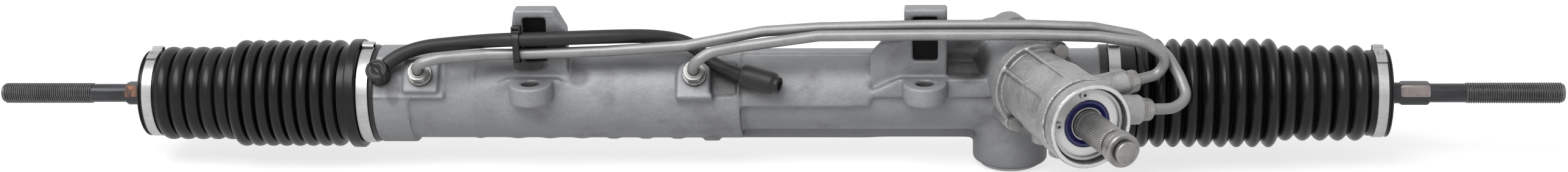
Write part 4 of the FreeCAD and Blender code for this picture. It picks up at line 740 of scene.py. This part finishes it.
def boot(word, collar, folds, shoulder, count, small_end, roots, bore, form):
    """Rubber boot in two pieces: folds that follow the rack, and a tip that follows the tie rod."""
    outwards = OUTWARDS[word]
    cuff, tip = ends("boot_" + word)
    wall, lip = 1.6, 0.4
    crest, small_crest, collar_crest, tip_radius = 36.3, 31.8, 37.0, 28.4
    small_count, before_seam = 5, 3
    sides = 128
    root, small_root = roots
    outer = NECK_RADIUS + wall
    seam = shoulder + (small_end - shoulder) / small_count * before_seam
    outline = [(cuff, NECK_RADIUS), (cuff, outer - lip), (cuff + lip, outer)]
    if collar:
        start, end = collar
        outline += rounded([(start, outer), (start + lip, collar_crest), (end - lip, collar_crest),
                            (end, outer)], 1.2, 4, False)
    outline.append((folds - 0.5, outer))
    outline += lobes(folds, shoulder, count, crest, root, form)
    outline += lobes(shoulder, seam, before_seam, small_crest, small_root, form)
    outline += [(seam, small_root), (seam, bore), (folds + 4.0, bore), (folds, NECK_RADIUS - 0.1)]
    main = turned("boot_%s_folds" % word, outline, RACK, outwards, None, "boot_rubber", "boot_" + word, sides)
    blend(main, "housing", "rack", RACK + outwards * folds, RACK + outwards * seam)
    outline = [(seam, bore), (seam, small_root)]
    outline += lobes(seam, small_end, small_count - before_seam, small_crest, small_root, form)
    outline += [(small_end + 1, tip_radius - 0.3), (small_end + 2, tip_radius), (tip - 1.5, tip_radius),
                (tip - 1.2, tip_radius + 0.7), (tip - 0.4, tip_radius + 0.7), (tip, tip_radius + 0.2),
                (tip, tip_radius - wall), (tip - 10, tip_radius - wall), (tip - 11, bore)]
    far = turned("boot_%s_tip" % word, outline, RACK, outwards, None, "boot_rubber", "boot_" + word, sides)
    blend(far, "rack", "tie_rod_" + word, RACK + outwards * seam, RACK + outwards * (small_end - 2))


def blend(item, first, second, start, end):
    """Bends a piece evenly between two bodies, so that all its folds share the travel."""
    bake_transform(item, first, second, start=tuple(start * MM), end=tuple(end * MM))
    way = end - start
    attribute = item.data.attributes["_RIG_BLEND"]
    for vertex, entry in zip(item.data.vertices, attribute.data):
        entry.value = ramp((vertex.co / MM - start).dot(way), 0.0, way.length_squared)


# Clamps, straps and rings of the boots
def clamp(name, body, node, radius, outwards, turn=0.0, tail=None):
    """Steel band with a crimped ear, turned from the top by some degrees; tail is the angle of its end."""
    thickness = 0.9
    front = math.copysign(1.0, outwards.x)
    start, stop = ends(node)
    width = stop - start
    base = RACK + outwards * ((start + stop) / 2)
    gap = math.asin(3.2 / radius)
    path = arc(radius, gap, 2 * math.pi - gap, 96)
    ear = [(radius + 0.3, -2.3), (radius + 1.2, -1.8), (radius + 2.2, -3.3), (radius + 2.9, -2.3),
           (radius + 2.9, 2.3), (radius + 2.2, 3.3), (radius + 1.2, 1.8), (radius + 0.3, 2.3)]
    path += rounded(ear, 0.7, 3, False)
    lean = Matrix.Rotation(math.radians(turn) * front, 2)
    pieces = [band("strip", [tuple(lean @ Vector(p)) for p in path], width, thickness, base, outwards)]
    if tail:
        pieces.append(clamp_end(width + 0.3, thickness, radius, base, outwards, turn, tail))
    made(name, joined(name, pieces), body, "clamp_steel", (node,))


def clamp_end(width, thickness, radius, base, outwards, turn, tail):
    """End of the band that lies flat on it, on the camera's side, with a square dent."""
    steps = 16
    front = math.copysign(1.0, outwards.x)
    start = turn + 4.5
    path = []
    for i in range(steps + 1):
        angle = math.radians(start + (tail - start) * i / steps)
        reach = radius + 1.9 - 0.9 * min(1.0, i / 3.0)
        path.append((reach * math.cos(angle), reach * math.sin(angle) * front))
    if front < 0:
        path.reverse()
    plate = band("plate", path, width, thickness, base, outwards, False)
    spot = math.radians((turn + tail) / 2 + 3.0) * front
    middle = Matrix.Rotation(spot, 4, "X") @ Matrix.Translation((0.0, 0.0, radius + 2.2))
    place = frame_at(base, outwards) @ middle @ Matrix.Rotation(math.radians(45), 4, "Z")
    return cut_out(plate, soft_box("dent", (3.6, 3.6, 1.6), 0.3, place))


def boot_fittings(word, hole, tail):
    """Inner clamp and strap on the neck, outer clamp and support ring on the rod."""
    outwards = OUTWARDS[word]
    rod = "tie_rod_" + word
    clamp("clamp_band_" + word, "housing", "inner_clamp_" + word, 32.65, outwards)
    clamp("tip_band_" + word, rod, "outer_clamp_" + word, 28.45, outwards, turn=-14.0, tail=tail)
    start, stop = ends("neck_strap_" + word)
    inner, outer = NECK_RADIUS, NECK_RADIUS + 1.55
    outline = rounded([(start, inner), (stop, inner), (stop, outer), (start, outer)], 0.6)
    turned("neck_band_" + word, outline, RACK, outwards, "housing", "black_plastic", "neck_strap_" + word)
    back, face = ends("support_ring_" + word)
    dish = face - 3.0
    outline = rounded([(back, hole), (back, 26.75), (face, 26.75), (face, 24.0),
                       (dish, 22.5), (dish, 12.5), (face, 11.0), (face, hole)], 0.7)
    turned("ring_" + word, outline, RACK, outwards, rod, "black_plastic", "support_ring_" + word)


# Tie rods
def tie_rod(word, hexagon_finish):
    """Ball, shank, forged hexagon, plain stretch and rolled thread."""
    base, outwards = BALLS[word], OUTWARDS[word]
    radius, length = ROD_THREAD["r_mm"], ROD_THREAD["length_mm"]
    ball_radius, neck, plain = 11.0, 5.5, 6.3
    nut_start, nut_end, flats, corner = 76.0, 95.0, 14.0, 8.09
    thread_start, pitch, core = 119.0, 1.5, 6.1
    rod_end = ends("tie_rod_" + word)[1] - abs(base.x)
    ball = [(-ball_radius, 0.0)] + arc(ball_radius, math.pi * 23 / 24, math.pi * 5 / 24, 18)
    shank = rounded([(9.0, neck), (15.0, neck), (16.5, radius), (nut_start + 1.0, radius),
                     (nut_start + 1.0, plain), (thread_start + 0.5, plain)], 1.0, 4, False)
    pieces = [lathe("shank", ball + shank + [(thread_start + 0.5, 0.0)], base, outwards, 64)]
    nut = [(nut_start, 6.0), (nut_start, 7.3), (nut_start + 1.2, corner), (nut_end - 1.2, corner),
           (nut_end, 7.3), (nut_end, 6.0)]
    pieces.append(lathe("hexagon", nut, base, outwards, 96, hexagon(flats)))
    count = int(length / pitch * 8)
    grooved = [(thread_start, 0.0), (thread_start, core)]
    for i in range(1, count + 1):
        grooved.append((thread_start + length * i / count, radius - max(0.0, i / count - 0.985) * 50))
    grooved += [(rod_end - 0.7, 6.0), (rod_end, 5.2), (rod_end, 0.0)]
    pieces.append(lathe("thread", grooved, base, outwards, 48, thread(pitch, core)))
    rod = made("rod_" + word, joined("rod_" + word, pieces), "tie_rod_" + word, "dark_steel",
               ("tie_rod_" + word,))

    seen_flat = Vector((0.0, -0.87, 0.5))

    def along(centre):
        return (centre - base).dot(outwards)

    def worn(centre, normal):
        return nut_start - 0.1 < along(centre) < nut_end + 0.1 and normal.dot(seen_flat) > 0.8

    touched(rod, hexagon_finish, worn)
    touched(rod, "rolled_thread", lambda centre, normal: along(centre) > thread_start)


# Input shaft and the mouth of the tower
def shaft_end():
    """Spool, journal, splines, double collar and pilot."""
    spline_start, spline_end, splines, spline_depth = 121.6, 152.6, 36, 0.75
    outline = [(27.0, 0.0), (27.0, 7.5), (48.0, 7.5), (48.0, 10.5), (99.0, 10.5), (99.0, 9.5), (121.5, 9.5),
               (spline_start, 9.7), (spline_end, 9.7), (153.5, 8.8), (153.5, 8.2), (158.5, 8.2),
               (158.5, 10.2), (159.1, 10.8), (161.9, 10.8), (162.3, 10.3), (162.9, 10.3), (163.3, 10.8),
               (166.4, 10.8), (167.0, 10.2), (167.0, 6.2), (168.0, 6.2), (168.0, 6.9), (168.4, 7.2),
               (171.0, 7.2), (171.5, 6.7), (171.5, 0.0)]
    reach = serrations(splines, spline_depth, spline_start - 0.05, spline_end + 0.1)
    mesh = lathe("shaft", outline, PINION, PINION_WAY, 288, reach)
    shaft = made("shaft", mesh, "input_shaft", "steel", ("input_shaft",))
    shaft.data.materials[0] = FINISHES["shaft_steel"]


def mouth():
    """Lip seal, bright washer round the shaft and the retaining ring with its gap."""
    seal = [(109.5, 9.55), (109.5, 15.15), (116.2, 15.15), (116.5, 14.8), (116.5, 13.2), (115.3, 12.6),
            (114.2, 11.4), (115.6, 10.4), (115.9, 9.7)]
    turned("lip_seal", rounded(seal, 0.3), PINION, PINION_WAY, "housing", "seal_rubber", "input_seal")
    ring_start, ring_end = 80, 374
    base = PINION + PINION_WAY * 117.45
    path = arc(21.6, math.radians(ring_start), math.radians(ring_end), 84)
    ring = [band("ring_part", path, 1.7, 2.95, base, PINION_WAY, False)]
    across, up = axes(PINION_WAY)
    half, hole, edge = 0.85, 1.1, 2.7
    for angle in (math.radians(ring_start + 6), math.radians(ring_end - 6)):
        spot = base + (across * math.cos(angle) + up * math.sin(angle)) * 20.2
        ear = [(-half, hole), (half, hole), (half, edge), (-half, edge)]
        ring.append(lathe("ear_part", ear, spot, PINION_WAY, 32))
    washer = rounded([(115.6, 9.75), (116.7, 9.75), (116.7, 10.9), (115.6, 10.9)], 0.3)
    ring.append(lathe("washer_part", washer, PINION, PINION_WAY))
    made("retaining_ring", joined("retaining_ring", ring), "housing", "steel", ("snap_ring",))


# Unions, breather, hose and cable tie
def union(name, base, direction, face):
    """Union nut: round flange, hexagon and a chamfered sleeve round the line."""
    flats, bore, line = 13.0, 3.7, 3.65
    flange = rounded([(face + 0.05, bore), (face + 0.05, 8.0), (face + 2.2, 8.0), (face + 2.2, bore)], 0.5)
    nut = [(face + 1.0, bore), (face + 1.0, flats * 0.577), (face + 7.2, flats * 0.577),
           (face + 8.2, flats * 0.52), (face + 8.2, bore)]
    tail = rounded([(face + 7.0, line), (face + 7.0, 5.2), (face + 9.0, 5.2), (face + 9.0, line)], 0.5)
    stem = [(face - 7.0, line), (face + 0.5, line), (face + 0.5, 6.0), (face - 7.0, 6.0)]
    pieces = [lathe("flange", flange, base, direction, 64),
              lathe("nut", nut, base, direction, 96, hexagon(flats)),
              lathe("tail", tail, base, direction, 48),
              lathe("stem", stem, base, direction, 48)]
    made(name + "_nut", joined(name + "_nut", pieces), "housing", "zinc", (name,))


def unions():
    """Two nuts on the cylinder's line ports and two on the tower's."""
    for name, station in LINE_PORTS.items():
        union(name, RACK + RIGHT * station, PORT_WAY, PORT_SEAT)
    for name, (station, tilt) in TOWER_PORTS.items():
        angle = math.radians(tilt)
        direction = PINION_SIDE * math.cos(angle) + UP * math.sin(angle)
        union(name, PINION + PINION_WAY * station, direction, TOWER_SEAT)


def breather():
    """Slotted cap on its stem, the hose and its end sleeve."""
    hose_radius = 4.7
    base = RACK + RIGHT * BREATHER_STATION
    cap = rounded([(33.05, 0.0), (33.05, 6.9), (34.5, 7.5), (45.0, 7.5), (46.0, 6.6), (46.0, 5.8),
                   (45.4, 5.3), (45.4, 0.0)], 0.5, 3, False)
    slot_way = Vector((0.72, PORT_WAY.z * -0.69, PORT_WAY.y * 0.69)).normalized()
    slot = soft_box("slot", (20.0, 1.7, 4.0), 0.2, frame_at(base + PORT_WAY * 46.4, slot_way, PORT_WAY))
    stem = [(27.0, 0.0), (27.0, 3.5), (33.2, 3.5), (33.2, 0.0)]
    head = cut_out(lathe("cap", cap, base, PORT_WAY, 72), slot)
    made("breather_cap", joined("breather_cap", [head, lathe("stem", stem, base, PORT_WAY, 32)]), "housing",
         "black_plastic", ("breather_fitting",))
    side = base + PORT_WAY * 40.5
    away = Vector((0.7, 0.43, 0.55))
    away = (away - PORT_WAY * away.dot(PORT_WAY)).normalized()
    corners = [(-172, -23, 44.5), (-147, -29.4, 48.2), (-131, -29.6, 48.4), (-78, -24, 48.5),
               (-52, -15.5, 46), (-34, -9.5, 41.5), (-21, -12, 36.5), (-9, -20.5, 26), (10, -28, 23)]
    route = [side + away * 7.6, side + away * 24] + [RACK + Vector(corner) for corner in corners]
    made("hose", tube("hose", route, hose_radius), "housing", "hose_rubber", ("breather_hose",))
    way = (route[-1] - route[-2]).normalized()
    cover = rounded([(0.05, 0.0), (0.05, 6.6), (1.2, 7.4), (4.0, 7.6), (20.0, 7.6), (23.5, 7.2), (25.0, 5.6),
                     (27.4, 5.4), (28.0, 4.6), (28.0, 3.2), (24.0, 3.2), (24.0, 0.0)], 0.9, 4, False)
    turned("sleeve", cover, route[-1], way, "housing", "hose_rubber", "hose_sleeve", 64)


def tube(name, route, radius):
    """Round hose along a smooth spline with the route's points as control points."""
    data = bpy.data.curves.new(name, "CURVE")
    data.dimensions = "3D"
    data.bevel_depth = radius * MM
    data.bevel_resolution = 8
    data.use_fill_caps = True
    data.resolution_u = 24
    spline = data.splines.new("NURBS")
    spline.points.add(len(route) - 1)
    for point, corner in zip(spline.points, route):
        point.co = tuple(corner * MM) + (1.0,)
    spline.order_u = 3
    spline.use_endpoint_u = True
    item = linked(name + "_line", data)
    mesh = evaluated(item)
    bpy.data.objects.remove(item)
    for face in mesh.polygons:
        face.use_smooth = True
    return mesh


def cable_tie():
    """Strap round hose and line, with its square head on top."""
    hose_up, hose_out = 48.3, 29.5
    line_up, line_out = 38.0, 28.8
    reach = 4.95
    path = arc(reach, math.pi * -0.5, math.pi * 0.5, 48, (hose_up, hose_out))
    path += arc(reach, math.pi * 0.5, math.pi * 1.5, 48, (line_up, line_out))
    place = RACK + LEFT * 139.0
    strap = band("strap", path, 4.4, 1.15, place, RIGHT)
    spot = place + Vector((0.0, -hose_out, hose_up + reach + 2.2))
    head = soft_box("head", (6.4, 6.0, 4.6), 0.8, Matrix.Translation(spot))
    hole = soft_box("hole", (4.0, 9.0, 1.8), 0.2, Matrix.Translation(spot + UP * 0.4))
    made("tie_strap", joined("tie_strap", [strap, cut_out(head, hole)]), "housing", "black_plastic",
         ("cable_tie",))


# Everything, in order
camera()
world()
floor()
area_light("key", (-0.5, -0.9, 1.5), (0.0, 0.0, 0.0), (1.6, 1.0), 34.0)
bpy.context.scene.view_settings.view_transform = "Standard"
for node, item in frame["nodes"].items():
    item.data.materials.clear()
    item.data.materials.append(FINISHES[SLOTS[node]])
casting("housing", voxel=0.9, rounds=7, softer=near_bosses)
tower = casting("valve_housing", voxel=0.6, rounds=5)
touched(tower, "faced", machined)
boot("left", collar=(251.0, 259.0), folds=264.5, shoulder=339.0, count=8, small_end=390.8,
     roots=(31.2, 27.9), bore=26.0, form=(2.3, 0.6))
boot("right", collar=None, folds=269.5, shoulder=364.0, count=9, small_end=421.5,
     roots=(29.8, 26.4), bore=25.0, form=(1.8, 0.72))
boot_fittings("left", hole=8.14, tail=19.0)
boot_fittings("right", hole=7.05, tail=28.0)
tie_rod("left", "rusty_hexagon")
tie_rod("right", "bare_hexagon")
shaft_end()
mouth()
unions()
breather()
cable_tie()
